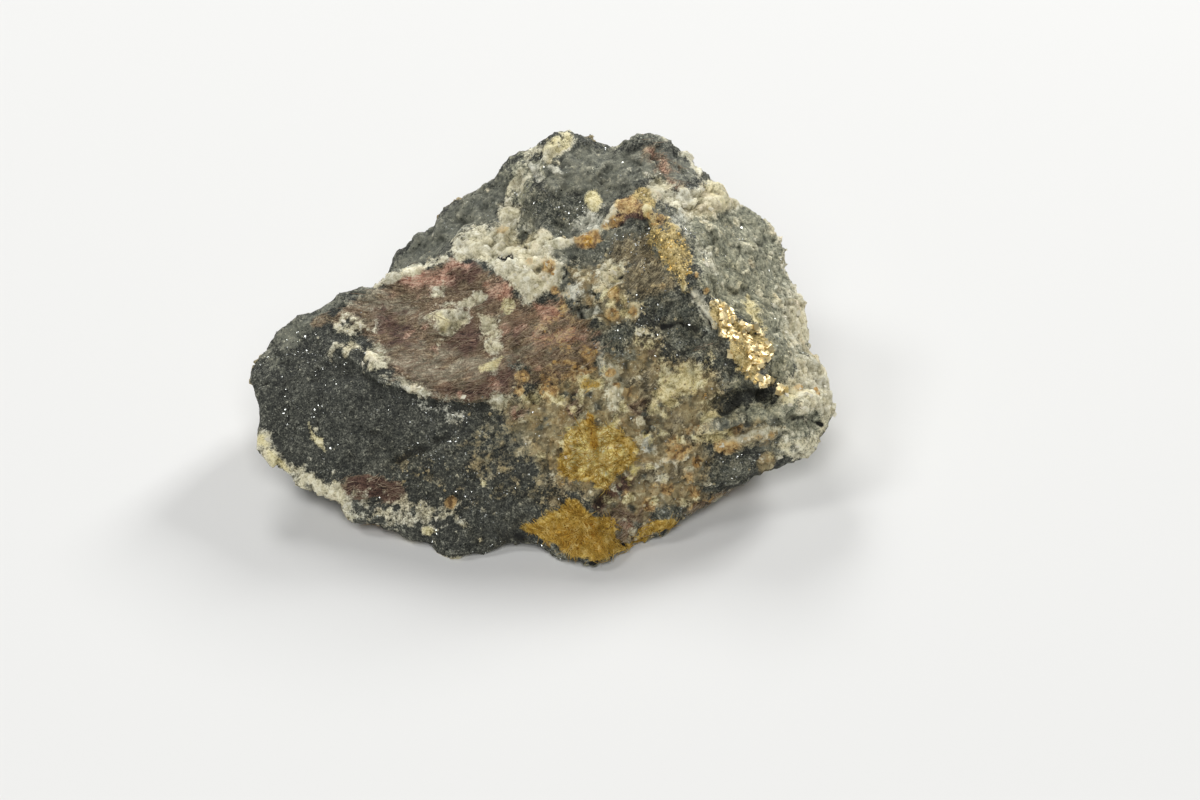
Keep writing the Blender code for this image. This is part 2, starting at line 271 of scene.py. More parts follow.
patches = {
    "slate": [   # back-left plane, summit, upper left strip, the ground between the knots, and the low ledges
        area(3, (388, 280), (397, 256), (420, 234), (437, 216), (452, 204), (474, 196), (498, 176),
             (512, 160), (512, 188), (504, 206), (490, 224), (470, 228), (456, 238), (446, 250), (436, 260),
             (412, 270)),
        area(5, (546, 152), (585, 140), (606, 152), (630, 148), (650, 140), (672, 146), (690, 158),
             (702, 178), (676, 190), (650, 178), (630, 196), (604, 210), (584, 200), (556, 196),
             (534, 176)),
        area(6, (258, 358), (280, 326), (302, 312), (334, 298), (372, 286), (388, 282), (376, 296),
             (346, 306), (312, 326), (296, 350), (276, 372), broken=0.4),
        area(5, (550, 244), (600, 238), (606, 258), (590, 270), (562, 266), broken=0.3),
        area(12, (476, 428), (500, 412), (530, 416), (556, 430), (566, 450), (560, 476), (536, 484),
             (500, 474), (478, 456), broken=0.9, strength=0.85),
        area(5, (676, 388), (700, 378), (730, 386), (722, 400), (700, 410), (678, 408), broken=0.4),
        area(5, (690, 412), (730, 412), (765, 405), (800, 412), (826, 418), (822, 440), (800, 460),
             (770, 458), (740, 446), (700, 440), broken=0.2),
        spot(617, 416, 7, 3),
        area(12, (380, 286), (448, 244), (500, 196), (540, 196), (600, 208), (690, 176), (716, 206),
             (700, 290), (650, 296), (604, 340), (566, 316), (500, 286), (440, 262), strength=0.85),
        spot(600, 364, 8, 4), streak(12, 5, (522, 356), (518, 372), broken=0.4),
        area(4, (580, 484), (600, 488), (612, 480), (604, 500), (584, 500)),
    ],
    "greyRock": [   # the right plane under the summit and the right tip
        area(4, (676, 216), (700, 206), (730, 188), (780, 200), (802, 240), (816, 285), (826, 320),
             (832, 345), (812, 362), (790, 378), (776, 386), (768, 372), (770, 350), (752, 326), (732, 314),
             (712, 300), (700, 286), (692, 256), (682, 232)),
        area(5, (512, 160), (534, 150), (548, 160), (536, 190), (512, 214), (506, 196), broken=0.5),
        area(5, (776, 384), (800, 372), (822, 384), (834, 410), (824, 440), (800, 452), (780, 440),
             (770, 410), broken=0.4),
        area(3, (722, 384), (740, 374), (752, 380), (740, 388)),
        area(4, (722, 418), (740, 406), (768, 400), (790, 404), (784, 418), (756, 424), (728, 426),
             broken=0.3, strength=0.9),
    ],
    "mottle": [   # olive and tan ground of the middle
        area(8, (498, 402), (530, 392), (556, 376), (590, 366), (602, 350), (622, 352), (640, 334),
             (660, 334), (664, 362), (690, 358), (714, 366), (724, 384), (716, 400), (712, 420), (704, 440),
             (706, 470), (712, 492), (690, 512), (664, 530), (640, 544), (616, 552), (600, 500), (560, 492),
             (540, 470), (520, 440), warp=7),
        area(6, (566, 268), (590, 262), (616, 262), (628, 280), (640, 300), (638, 322), (604, 330),
             (590, 316), (572, 300)),
        area(16, (470, 436), (510, 424), (550, 440), (566, 470), (540, 488), (500, 486), (474, 470),
             broken=0.6, strength=0.6),
        area(4, (716, 430), (750, 424), (780, 426), (778, 440), (750, 448), (718, 452)),
        spot(765, 462, 9, 4), streak(12, 12, (400, 466), (430, 480), (470, 496), broken=0.6, strength=0.5),
        streak(9, 7, (660, 322), (690, 314), (704, 330), broken=0.8, strength=0.7),
    ],
    "umber": [   # fine brown-grey facet under the sharp ridge, and brown streaks below it
        area(4, (612, 240), (646, 230), (652, 250), (668, 268), (688, 290), (664, 292), (640, 302),
             (626, 296), (622, 276), (606, 262)),
        area(8, (630, 364), (656, 368), (660, 400), (650, 430), (634, 424), (626, 396), broken=0.6),
        area(8, (650, 412), (684, 414), (702, 434), (694, 452), (662, 448), broken=0.5),
        streak(12, 7, (640, 472), (660, 478), (682, 472), broken=0.6),
        streak(10, 5, (568, 486), (560, 496), (556, 504), broken=0.4),
        streak(10, 7, (620, 334), (636, 340), (650, 352), broken=0.8),
    ],
    "brown": [   # the furred patch, and what is like it
        area(5, (352, 302), (372, 294), (396, 280), (420, 271), (440, 262), (456, 260), (474, 264),
             (490, 272), (508, 282), (514, 294), (524, 308), (536, 303), (548, 297), (562, 302), (577, 314),
             (590, 320), (598, 332), (600, 346), (596, 362), (586, 372), (572, 378), (556, 384), (540, 388),
             (526, 384), (510, 396), (495, 402), (470, 404), (446, 400), (424, 394), (406, 384), (392, 372),
             (378, 354), (368, 338), (352, 330), warp=6, broken=0.25),
        streak(8, 4, (316, 322), (336, 318), (360, 308), broken=0.3),
        streak(15, 8, (652, 152), (664, 168), (676, 190), broken=0.5, strength=0.75),
        streak(18, 4, (350, 486), (370, 489), (394, 492)),
        area(5, (604, 512), (620, 502), (640, 508), (646, 522), (636, 540), (618, 546), (606, 532),
             broken=0.2),
        streak(8, 3, (690, 510), (706, 504), (730, 493)), spot(516, 412, 8, 4), spot(652, 350, 8, 5),
        spot(697, 346, 7, 5), spot(578, 396, 8, 5), spot(576, 412, 8, 5), spot(640, 410, 9, 6),
    ],
    "salmon": [   # its pink streaks
        area(5, (402, 278), (420, 270), (446, 268), (452, 280), (436, 290), (412, 290)),
        area(4, (536, 306), (550, 298), (560, 304), (562, 316), (548, 322), (536, 316)),
        area(4, (486, 286), (498, 278), (512, 284), (512, 296), (500, 300), strength=0.8),
        streak(10, 4, (452, 264), (466, 266), strength=0.7),
        streak(16, 9, (540, 340), (570, 332), (592, 338), strength=0.6), spot(516, 412, 6, 4, strength=0.7),
        streak(10, 8, (654, 154), (664, 168), (676, 190), broken=0.4, strength=0.55),
    ],
    "plum": [   # deep red-brown threads, and painted shade under the upper ochre tuft
        area(4, (450, 262), (470, 256), (484, 268), (478, 284), (458, 284), broken=0.3),
        area(5, (450, 324), (470, 316), (484, 332), (480, 352), (462, 356), (448, 342), broken=0.3),
        area(5, (504, 322), (524, 318), (530, 332), (516, 344), (504, 340), broken=0.3),
        area(7, (376, 312), (394, 308), (406, 322), (412, 342), (400, 352), (386, 344), (376, 330),
             broken=0.5, strength=0.9),
        area(6, (404, 374), (440, 382), (470, 392), (500, 388), (490, 398), (450, 398), (414, 386),
             broken=0.6, strength=0.7),
        streak(14, 7, (470, 392), (500, 386), (514, 366), broken=0.4),
        streak(17, 4, (352, 486), (372, 489), (394, 492)),
        # painted shade under the upper ochre tuft
        area(3, (592, 508), (600, 496), (618, 480), (632, 476), (628, 488), (614, 502), (600, 510)),
        streak(9, 2, (616, 219), (632, 214), (648, 216)),
        streak(7, 4, (568, 342), (584, 338), (598, 336), broken=0.4), spot(486, 300, 8, 5),
        area(5, (440, 266), (454, 262), (462, 274), (456, 290), (442, 284), broken=0.4),
    ],
    "wisps": [   # its pale strands
        area(8, (384, 352), (420, 348), (460, 352), (500, 358), (504, 372), (470, 378), (430, 380),
             (400, 384), (388, 370)),
        streak(14, 8, (376, 300), (410, 312), (440, 330), broken=0.5),
        area(10, (524, 320), (556, 314), (592, 332), (590, 352), (560, 366), (534, 352), broken=0.6,
             strength=0.8),
        streak(9, 6, (470, 376), (510, 356), (560, 334), broken=0.4),
        area(8, (352, 300), (372, 294), (392, 300), (380, 316), (356, 320)),
    ],
    "charcoal": [   # dark grains of the middle, and painted shade in the hollows and under the ledges
        area(4, (636, 302), (664, 292), (688, 290), (700, 310), (714, 335), (724, 352), (738, 372),
             (728, 384), (712, 364), (690, 360), (668, 350), (658, 334), (664, 318), (648, 318),
             broken=0.3),
        area(4, (600, 345), (604, 330), (620, 318), (634, 322), (642, 330), (628, 338), (626, 350),
             (642, 354), (642, 364), (620, 364), (606, 356), broken=0.3),
        area(4, (527, 205), (540, 196), (560, 193), (585, 197), (608, 206), (604, 214), (585, 208),
             (576, 222), (556, 232), (544, 228), (530, 214), broken=0.2),
        area(3, (716, 462), (726, 454), (740, 451), (757, 450), (757, 462), (748, 474), (736, 484),
             (722, 492), (704, 494), (700, 486), (710, 478)),
        area(3, (645, 520), (652, 506), (664, 500), (684, 502), (693, 508), (684, 517), (668, 524),
             (652, 525)),
        area(4, (562, 258), (584, 250), (612, 240), (606, 256), (598, 264), (576, 266), broken=0.2),
        area(3, (590, 284), (602, 284), (604, 300), (596, 304), (588, 296)),
        area(3, (540, 542), (552, 538), (562, 548), (570, 558), (556, 560)),
        # painted shade over the hollow under the ridge's end, and under the rust ledge
        area(3, (736, 372), (756, 376), (768, 388), (744, 390)),
        streak(8, 3, (612, 228), (632, 226), (648, 228)),
        streak(12, 4, (628, 142), (650, 134), (668, 142), broken=0.3),
        streak(6, 3, (564, 394), (580, 398), (592, 394), broken=0.4), streak(6, 3, (636, 524), (640, 536)),
        streak(10, 4, (510, 364), (524, 372), broken=0.3),
        area(4, (700, 300), (712, 312), (724, 330), (716, 344), (700, 326), strength=0.8),
    ],
    "frost": [   # cool white sugary crystals
        area(3, (574, 222), (582, 214), (588, 208), (596, 216), (606, 222), (600, 232), (586, 234),
             (574, 230)),
        area(4, (666, 212), (680, 212), (692, 226), (696, 240), (684, 236), (672, 226), broken=0.3),
        area(4, (566, 280), (580, 276), (592, 284), (588, 300), (572, 302), (564, 292), broken=0.5),
        streak(9, 3, (696, 292), (702, 304), (712, 328)),
        streak(7, 5, (694, 240), (704, 256), (716, 274), strength=0.7),
        streak(9, 4, (598, 356), (602, 368), broken=0.2), streak(8, 3, (584, 312), (600, 310), broken=0.2),
        streak(6, 3, (534, 168), (538, 180)), streak(6, 2, (552, 168), (560, 172)), spot(649, 446, 8, 4),
        streak(8, 5, (652, 464), (676, 458), broken=0.6, strength=0.6), spot(528, 228, 4, 2),
        streak(14, 9, (424, 404), (440, 410), (458, 416), broken=0.9, strength=0.5),
    ],
    "vein": [   # white quartz, and crumbs of it
        area(2.5, (448, 252), (454, 240), (466, 229), (484, 226), (500, 224), (498, 212), (507, 204),
             (520, 204), (523, 216), (518, 232), (520, 244), (530, 236), (541, 229), (551, 234), (556, 244),
             (548, 252), (561, 259), (565, 272), (561, 283), (556, 292), (545, 296), (534, 302), (524, 306),
             (516, 290), (505, 278), (490, 268), (476, 260), (460, 262), warp=3),
        streak(5, 2, (378, 285), (400, 275), (424, 267), (446, 258)),
        streak(10, 6, (534, 152), (524, 172), (514, 190), (507, 208), broken=0.6, strength=0.8),
        streak(8, 2, (546, 252), (556, 246), (576, 240), (592, 234), (606, 226), (614, 212)),
        area(5, (534, 150), (546, 136), (568, 134), (576, 144), (562, 158), (542, 164), broken=0.6,
             strength=0.8),
        area(4, (572, 276), (582, 272), (592, 276), (588, 288), (574, 290), broken=0.6),
        area(4, (594, 268), (604, 262), (618, 264), (624, 278), (616, 288), (604, 296), (598, 284),
             broken=0.3),
        area(3.5, (646, 176), (658, 178), (670, 186), (682, 188), (694, 190), (702, 180), (716, 182),
             (730, 192), (740, 206), (728, 214), (708, 214), (694, 218), (680, 213), (662, 208),
             (648, 194)),
        streak(8, 4, (676, 142), (690, 158), (700, 176), broken=0.6),
        area(6, (784, 284), (812, 284), (826, 320), (832, 352), (798, 354), (786, 332), (778, 306),
             broken=0.2),
        streak(10, 6, (770, 222), (784, 250), (794, 286), broken=0.5),
        area(5, (796, 346), (824, 346), (840, 380), (848, 410), (832, 424), (800, 412), (780, 400),
             (778, 386), (794, 370), broken=0.2),
        area(4, (780, 432), (800, 428), (832, 420), (834, 446), (812, 470), (788, 466), (777, 450),
             broken=0.7, strength=0.72),
        streak(8, 3, (722, 444), (740, 438), (760, 432), (780, 430), broken=0.3),
        area(3, (248, 430), (264, 430), (274, 446), (290, 462), (298, 484), (280, 484), (252, 462),
             broken=0.35, strength=0.9),
        area(5, (288, 462), (312, 466), (336, 478), (350, 494), (358, 508), (350, 530), (334, 512),
             (314, 494), (294, 484), broken=0.6, strength=0.85),
        area(6, (348, 502), (374, 494), (398, 488), (420, 496), (446, 498), (470, 506), (462, 520),
             (446, 530), (426, 534), (400, 530), (376, 534), (356, 526), broken=1.3, strength=0.55),
        area(5, (362, 344), (370, 338), (382, 352), (390, 372), (378, 376), (366, 364), broken=0.5,
             strength=0.9),
        area(8, (332, 322), (350, 314), (370, 320), (368, 338), (352, 352), (338, 344), broken=0.8,
             strength=0.75),
        area(4, (428, 310), (444, 304), (466, 304), (470, 316), (462, 330), (440, 338), (430, 326),
             broken=0.4),
        area(4, (482, 316), (494, 318), (504, 332), (500, 352), (494, 364), (486, 344), broken=0.2),
        area(3, (390, 372), (404, 376), (424, 388), (440, 396), (424, 398), (404, 390), broken=0.6,
             strength=0.75),
        streak(9, 3, (462, 306), (480, 298), broken=0.3),
        streak(3, 2.5, (406, 388), (440, 398), (470, 404), (500, 400), (530, 394), broken=0.9, strength=0.6),
        area(3, (426, 288), (442, 286), (450, 294), (438, 298), broken=0.3),
        spot(551, 268, 13, 3), spot(612, 372, 10, 3), spot(614, 392, 11, 4, broken=0.3),
        spot(612, 406, 6, 3), spot(633, 311, 8, 3), spot(498, 402, 8, 4),
        streak(4, 2, (588, 315), (600, 320)), streak(9, 5, (640, 330), (656, 336), broken=0.6),
        spot(316, 430, 4, 2),
    ],
    "rust": [
        area(3, (613, 210), (616, 200), (626, 198), (640, 202), (648, 206), (650, 214), (634, 214),
             (620, 218)),
        streak(6, 3, (606, 228), (614, 220), (624, 216)),
        streak(5, 4, (632, 292), (650, 288), (672, 284), broken=0.6, strength=0.4),
        area(5, (540, 372), (560, 370), (580, 360), (586, 346), (596, 350), (596, 366), (580, 378),
             (556, 388), (536, 386), broken=0.4, strength=0.8),
        streak(5, 2, (556, 362), (572, 362), (580, 374), (596, 368)),
        area(9, (528, 318), (552, 306), (574, 314), (594, 330), (594, 352), (566, 366), (536, 356),
             broken=0.5, strength=0.42),
        spot(551, 266, 7, 3), spot(552, 291, 5, 3), streak(11, 3, (581, 241), (594, 240)),
        spot(612, 312, 8, 3), spot(633, 311, 5, 2), spot(614, 295, 9, 4), spot(564, 307, 6, 3),
        spot(611, 373, 5, 2), spot(589, 357, 9, 4), spot(521, 378, 8, 3), spot(519, 391, 6, 3),
        spot(549, 392, 10, 4), spot(616, 387, 4, 2), spot(450, 501, 6, 3), spot(706, 291, 4, 2),
        spot(696, 275, 3, 2), spot(658, 222, 8, 4),
        area(4, (658, 442), (676, 436), (692, 448), (686, 458), (668, 456), broken=0.3),
        spot(696, 462, 5, 2), spot(740, 427, 6, 4), spot(668, 490, 8, 4, broken=0.3), spot(650, 505, 6, 3),
        streak(7, 4, (688, 474), (694, 492), broken=0.3), streak(7, 3, (722, 450), (732, 446)),
        streak(4, 3, (744, 438), (772, 434), broken=0.5), streak(5, 3, (690, 508), (712, 500)),
        spot(720, 444, 5, 3),
    ],
    "straw": [   # the lighter strands of the upper ochre tuft, and painted light over it
        area(8, (568, 440), (578, 426), (598, 428), (616, 430), (632, 442), (632, 460), (610, 478),
             (586, 476), (566, 462), broken=0.3),
    ],
    "paleYellow": [
        area(5, (664, 374), (680, 364), (694, 360), (710, 358), (712, 372), (700, 384), (692, 396),
             (676, 404), (664, 408), (658, 396), broken=0.3),
        spot(668, 402, 4, 2),
        area(3, (698, 412), (708, 408), (720, 414), (714, 422), (702, 422)),
        area(3, (546, 138), (560, 133), (572, 136), (566, 146), (550, 148)),
        spot(594, 201, 9, 3), spot(647, 211, 4, 2), spot(684, 286, 5, 2),
        streak(8, 4, (748, 300), (754, 316), (762, 330), broken=0.4),
        area(4, (702, 186), (716, 186), (728, 196), (726, 208), (710, 208), strength=0.5),
        area(3, (784, 392), (796, 392), (804, 400), (796, 406), (786, 402)),
        spot(427, 531, 5, 2), streak(7, 3, (260, 440), (272, 456), (286, 470)),
        streak(5, 2, (308, 424), (314, 436), (324, 450), broken=0.3),
        area(3, (432, 312), (444, 310), (448, 322), (440, 332), (432, 324), broken=0.3),
        streak(4, 2, (482, 368), (494, 364), (502, 358)), streak(11, 4, (586, 384), (598, 384)),
        streak(8, 4, (524, 398), (548, 396), (560, 402), broken=0.5), spot(508, 306, 6, 3),
        streak(8, 4, (654, 408), (664, 414)),
        area(5, (696, 430), (716, 424), (730, 430), (716, 440), (700, 440), broken=0.5),
        spot(484, 484, 4, 3),
    ],
    "ochre": [   # the two tufts
        area(3, (566, 438), (574, 430), (582, 422), (588, 415), (594, 424), (602, 430), (612, 428),
             (624, 430), (634, 440), (638, 450), (634, 462), (626, 470), (616, 478), (606, 487), (598, 485),
             (590, 482), (576, 479), (562, 478), (556, 470), (560, 456), warp=5),
        area(2.5, (519, 528), (536, 520), (546, 512), (560, 508), (568, 497), (578, 497), (584, 508),
             (594, 516), (610, 519), (616, 530), (622, 544), (616, 555), (600, 562), (586, 560), (570, 556),
             (562, 548), (548, 542), (534, 536), warp=4),
        streak(7, 3, (618, 550), (636, 545), (646, 534)), streak(9, 3, (644, 532), (656, 527), (672, 524)),
        streak(10, 5, (586, 386), (598, 384), strength=0.6), spot(614, 290, 8, 5, strength=0.5),
    ],
    "amber": [   # their deeper strands, and painted shade over the lower tuft
        area(8, (536, 532), (556, 524), (574, 518), (594, 522), (608, 534), (610, 550), (588, 558),
             (570, 552), (554, 542), broken=0.3),
        streak(5, 3, (589, 418), (592, 430), (595, 446)), spot(588, 241, 4, 3, strength=0.7),
    ],
    "goldStain": [   # under the dust of the ridge, the flakes and their tail
        goldRidge, goldField, goldTail, streak(9, 4, (642, 192), (650, 204), broken=0.3),
    ],
    "soot": [   # painted shade: near-black in the deepest hollows, pits and creases
        area(5, (724, 412), (732, 398), (744, 390), (758, 388), (768, 392), (760, 399), (746, 402),
             (734, 411), (727, 416), broken=0.3, strength=0.7),
        streak(2.5, 2, (534, 404), (532, 396), (536, 388), strength=0.8),
        streak(4, 2.5, (524, 234), (522, 244), (527, 250), strength=0.8),
        streak(3, 1.5, (564, 268), (567, 274), (563, 279)),
        streak(5, 3, (577, 307), (584, 310), (584, 316), strength=0.7),
        streak(3, 1.5, (576, 301), (584, 302)), streak(2.5, 2, (594, 374), (600, 372), strength=0.8),
        streak(2.5, 2, (551, 378), (552, 384), strength=0.8), spot(538, 268, 2, 2, strength=0.6),
        streak(3, 1.5, (618, 277), (622, 276)), streak(4, 2, (500, 260), (510, 258), strength=0.8),
        streak(2.5, 2.5, (398, 460), (412, 452), (430, 444), (448, 436), strength=0.6),
        streak(3, 2, (620, 222), (634, 219), (649, 221)),
        area(6, (496, 524), (520, 524), (534, 538), (520, 544), (500, 540), strength=0.7),
        streak(3, 2, (790, 420), (806, 418), (820, 424)),
        streak(8, 4, (664, 327), (680, 322), (696, 330), strength=0.7),
        streak(3, 3, (712, 328), (700, 306), (690, 292), strength=0.7),
        streak(4, 2, (560, 562), (580, 566), (600, 563)), streak(3, 2, (610, 540), (626, 544)),
        spot(598, 504, 6, 5, strength=0.6),
    ],
    "stain": [   # a thin yellow film over the middle and the right
        area(26, (520, 300), (600, 230), (650, 200), (700, 230), (790, 300), (800, 360), (780, 440),
             (740, 490), (640, 550), (560, 570), (510, 540), (470, 470), (480, 410)),
        streak(50, 20, (400, 470), (470, 480), (540, 470), strength=0.6),
        area(14, (540, 146), (620, 170), (640, 210), (600, 230), (540, 240), (500, 230), strength=0.5),
    ],
}

# Relief strokes of the seen side: half width in photo pixels, rise in mm, and the line or knob
strokes = [
    (7, 0.35, (546, 252), (556, 246), (576, 240), (592, 234), (606, 226), (614, 212)),
    (12, 0.3, (551, 267)), (11, 0.42, (612, 311)), (10, 0.28, (633, 311)), (12, 0.35, (614, 293)),
    (10, 0.35, (589, 357)), (11, 0.45, (611, 374)), (12, 0.4, (615, 391)), (10, 0.38, (521, 379)),
    (12, 0.42, (549, 392)), (9, 0.35, (594, 201)), (15, 0.28, (540, 239)), (16, 0.22, (515, 272)),
    (12, 0.15, (508, 210)), (14, 0.35, (580, 287)), (12, 0.3, (606, 276)), (8, 0.2, (588, 241)),
    (6, 0.22, (646, 212), (668, 244), (686, 284), (700, 305), (716, 325), (736, 352), (756, 378)),
    (8, 0.3, (616, 208), (632, 208), (650, 212)), (6, -0.35, (614, 224), (632, 223), (648, 226)),
    (5, 0.08, (378, 284), (400, 275), (424, 267), (446, 257)), (14, 0.35, (439, 321)),
    (10, 0.22, (493, 340)), (13, 0.32, (372, 362)), (8, -0.25, (596, 262), (572, 268)),
    (7, -0.22, (576, 312), (590, 312)), (7, -0.25, (592, 296)), (6, -0.2, (532, 396)),
    (8, -0.22, (724, 410), (745, 396), (766, 394)), (18, 0.45, (625, 524)),
    (10, -0.35, (604, 498), (622, 484)), (20, 0.4, (735, 470)), (16, 0.3, (668, 512)),
    (8, -0.2, (694, 478), (706, 462)), (7, 0.28, (720, 446), (750, 436), (778, 432)),
    (8, 0.25, (700, 430), (740, 420), (780, 410)), (5, -0.2, (712, 438), (740, 428)), (14, 0.3, (674, 386)),
    (9, 0.28, (701, 368)), (12, 0.28, (656, 190)), (14, 0.35, (714, 198)), (8, -0.25, (688, 200)),
    (9, 0.25, (524, 158), (512, 188)), (7, 0.25, (542, 172)), (5, 0.25, (557, 171)),
    (5, -0.16, (396, 460), (414, 452), (448, 436)), (6, 0.15, (410, 466), (436, 452)),
    (6, -0.2, (340, 352), (376, 386), (412, 398), (452, 408), (500, 408)),
    (5, 0.18, (334, 344), (372, 376), (410, 388), (452, 398), (500, 398)),
]

# What the hidden sides hold: zone, patch size in mm, share of the surface
hiddenSides = [
    ("slate", 8.0, 0.60), ("greyRock", 9.0, 0.40), ("vein", 6.0, 0.13), ("brown", 8.0, 0.16),
    ("mottle", 7.0, 0.18), ("rust", 3.0, 0.02), ("charcoal", 6.0, 0.22), ("paleYellow", 2.5, 0.03),
]

# Small cells of one finish in the ground of another: finish, ground, mm, share of the cells, strength
sprinkles = [
    ("rust", "mottle", 0.75, 0.10, 0.55), ("paleYellow", "mottle", 0.95, 0.14, 0.7),
    ("charcoal", "mottle", 0.70, 0.22, 0.7), ("vein", "mottle", 0.85, 0.16, 0.7),
    ("slate", "vein", 0.80, 0.10, 0.5), ("slate", "vein", 0.45, 0.16, 0.55),
    ("charcoal", "vein", 0.36, 0.08, 0.75), ("rust", "vein", 0.80, 0.02, 0.6),
    ("mottle", "vein", 1.10, 0.12, 0.4), ("vein", "greyRock", 0.75, 0.16, 0.6),
    ("slate", "greyRock", 0.65, 0.20, 0.6), ("vein", "slate", 0.50, 0.05, 0.5),
    ("charcoal", "slate", 0.60, 0.18, 0.7), ("slate", "brown", 0.55, 0.10, 0.7),
    ("salmon", "brown", 1.10, 0.08, 0.5), ("mottle", "charcoal", 0.80, 0.14, 0.6),
    ("slate", "charcoal", 0.55, 0.16, 0.8), ("umber", "goldStain", 0.50, 0.22, 0.9),
]

skin = {
    "step": 0.21,              # mm between points of the dressed skin
    "quickStep": 0.34,
    "smoothing": 3,
    "facingFrom": -0.25,       # cosine to the eye where the photo's patches begin
    "facingTo": -0.08,
    "softer": 1.9,             # the edges of all outlines at once
    "streakReach": 0.6,        # share of a streak's width on each side of its line
    "sprinkleEdge": 2.2,       # how crisp a sprinkled cell is
    "hiddenEdge": 5.0,         # how crisp a patch of the hidden sides is
    "gaps": (0.02, 0.10),      # mm below the neighbours where a gap's painted shade begins, and mm to its full depth
    # the same above the neighbours, for a crest's painted highlight
    "crests": (0.01, 0.08),
    "hollowRounds": 4,         # how far the neighbours reach, in points
    # noise layers: size in mm, height, seed
    "wavering": [(1.3, 1.0, 1), (0.55, 0.6, 4)],
    "patchiness": [(0.8, 1.0, 2), (0.36, 0.7, 3)],
}


def noiseAt(points, size, seed=0.0):
    shift = Vector((seed * 17.3, seed * 5.1, -seed * 11.7))
    return np.array([noise.noise(Vector(point) / size + shift) for point in points])


def layered(points, layers):
    return sum(height * noiseAt(points, size, seed) for size, height, seed in layers)


def cellsAt(points, size, seed):   # rim to middle as 0 to 1, a number for each cell, rise of its tilted face
    shift = Vector((seed * 7.9, -seed * 3.3, seed * 13.1))
    rims = np.zeros(len(points))
    middles = np.zeros((len(points), 3))
    for index, point in enumerate(points):
        distances, nearest = noise.voronoi(Vector(point) / size + shift)
        rims[index] = distances[1] - distances[0]
        middles[index] = nearest[0]
    numbers = np.modf(np.abs(np.sin(middles @ (12.99, 78.23, 37.72))) * 4375.85)[0]
    tilts = np.stack([np.sin(numbers * 91.7 + k * 2.1) for k in range(3)], axis=1)
    offsets = (points / size + np.array(shift) - middles) * size
    return np.minimum(rims * 1.6, 1), numbers, np.sum(offsets * tilts, axis=1)


def lineDistance(points, line):
    line = np.array(line, float)
    nearest = np.linalg.norm(points - line[0], axis=1)
    for start, end in zip(line[:-1], line[1:]):
        run = end - start
        share = np.clip((points - start) @ run / (run @ run), 0, 1)
        nearest = np.minimum(nearest, np.linalg.norm(points - start - share[:, None] * run, axis=1))
    return nearest


def insideOutline(points, outline):
    inside = np.zeros(len(points), bool)
    corners = np.array(outline, float)
    for (x1, y1), (x2, y2) in zip(corners, np.roll(corners, -1, axis=0)):
        crosses = (y1 > points[:, 1]) != (y2 > points[:, 1])
        with np.errstate(divide="ignore", invalid="ignore"):
            reach = (x2 - x1) * (points[:, 1] - y1) / (y2 - y1) + x1
        inside ^= crosses & (points[:, 0] < reach)
    return inside


def patchReach(seen, patch):   # pixels inside the patch's edge, negative outside it
    if "outline" in patch:
        edge = lineDistance(seen, patch["outline"] + patch["outline"][:1])
        return np.where(insideOutline(seen, patch["outline"]), edge, -edge)
    if "streak" in patch:
        return patch["width"] * skin["streakReach"] - lineDistance(seen, patch["streak"])
    return patch["width"] - lineDistance(seen, [patch["spot"]])


def paintZones(points, outward):
    seen, toEye = seenAt(points)
    facing = np.sum(outward * toEye, axis=1)
    shown = np.clip((facing - skin["facingFrom"]) / (skin["facingTo"] - skin["facingFrom"]), 0, 1)
    wavering = layered(points, skin["wavering"])
    patchiness = layered(points, skin["patchiness"])
    zones = {}
    for zone, items in patches.items():
        value = np.zeros(len(points))
        for patch in items:
            soft = patch["soft"] * (skin["softer"] if "outline" in patch else 1)
            reach = patchReach(seen, patch) + wavering * patch.get("warp", 1.1 * soft + 1)
            reach -= patch.get("broken", 0.15) * soft * 2.2 * (0.25 + patchiness)
            share = np.clip(0.5 + reach / (2 * soft), 0, 1) * patch.get("strength", 1.0)
            value = np.maximum(value, share)
        zones[zone] = value * shown
    for number, (zone, size, share) in enumerate(hiddenSides):
        field = layered(points, [(size, 1.0, 10 + number), (size / 4, 0.35, 20 + number)])
        level = np.quantile(field, 1 - share)
        there = np.clip(0.5 + (field - level) * skin["hiddenEdge"], 0, 1)
        zones[zone] = np.maximum(zones[zone], there * (1 - shown))
    for zone, ground, size, share, strength in sprinkles:
        rims, numbers, _ = cellsAt(points, size, 60 + size)
        draw = np.modf(numbers * 7.0 + len(zone) * 0.37 + size * 3.1)[0]   # another draw for each row
        chosen = (draw < share) * np.clip(rims * skin["sprinkleEdge"], 0, 1)
        zones[zone] = np.maximum(zones[zone], chosen * zones[ground] * strength)
    return zones, shown


# Fibres: the brown ones lie in a shallow bowl, the ochre ones in fans round the middles of the two tufts

brownFur = {
    "lowest": -10.3,     # mm across the photo's middle; the bowl's lowest line is level
    "bowl": 33.0,
    "stretch": 4.0,
    "squeeze": 2,        # the same away from the eye
    "waver": (1.5, 0.35, 41),
}
ochreFur = {
    "middles": [(597, 452), (577, 532)],   # photo pixels
    "round": 1.1,
    "stretch": 5.0,
    "hub": 0.15,                           # mm
    "swirl": 0.6,
    "swirlSize": 1.3,
}


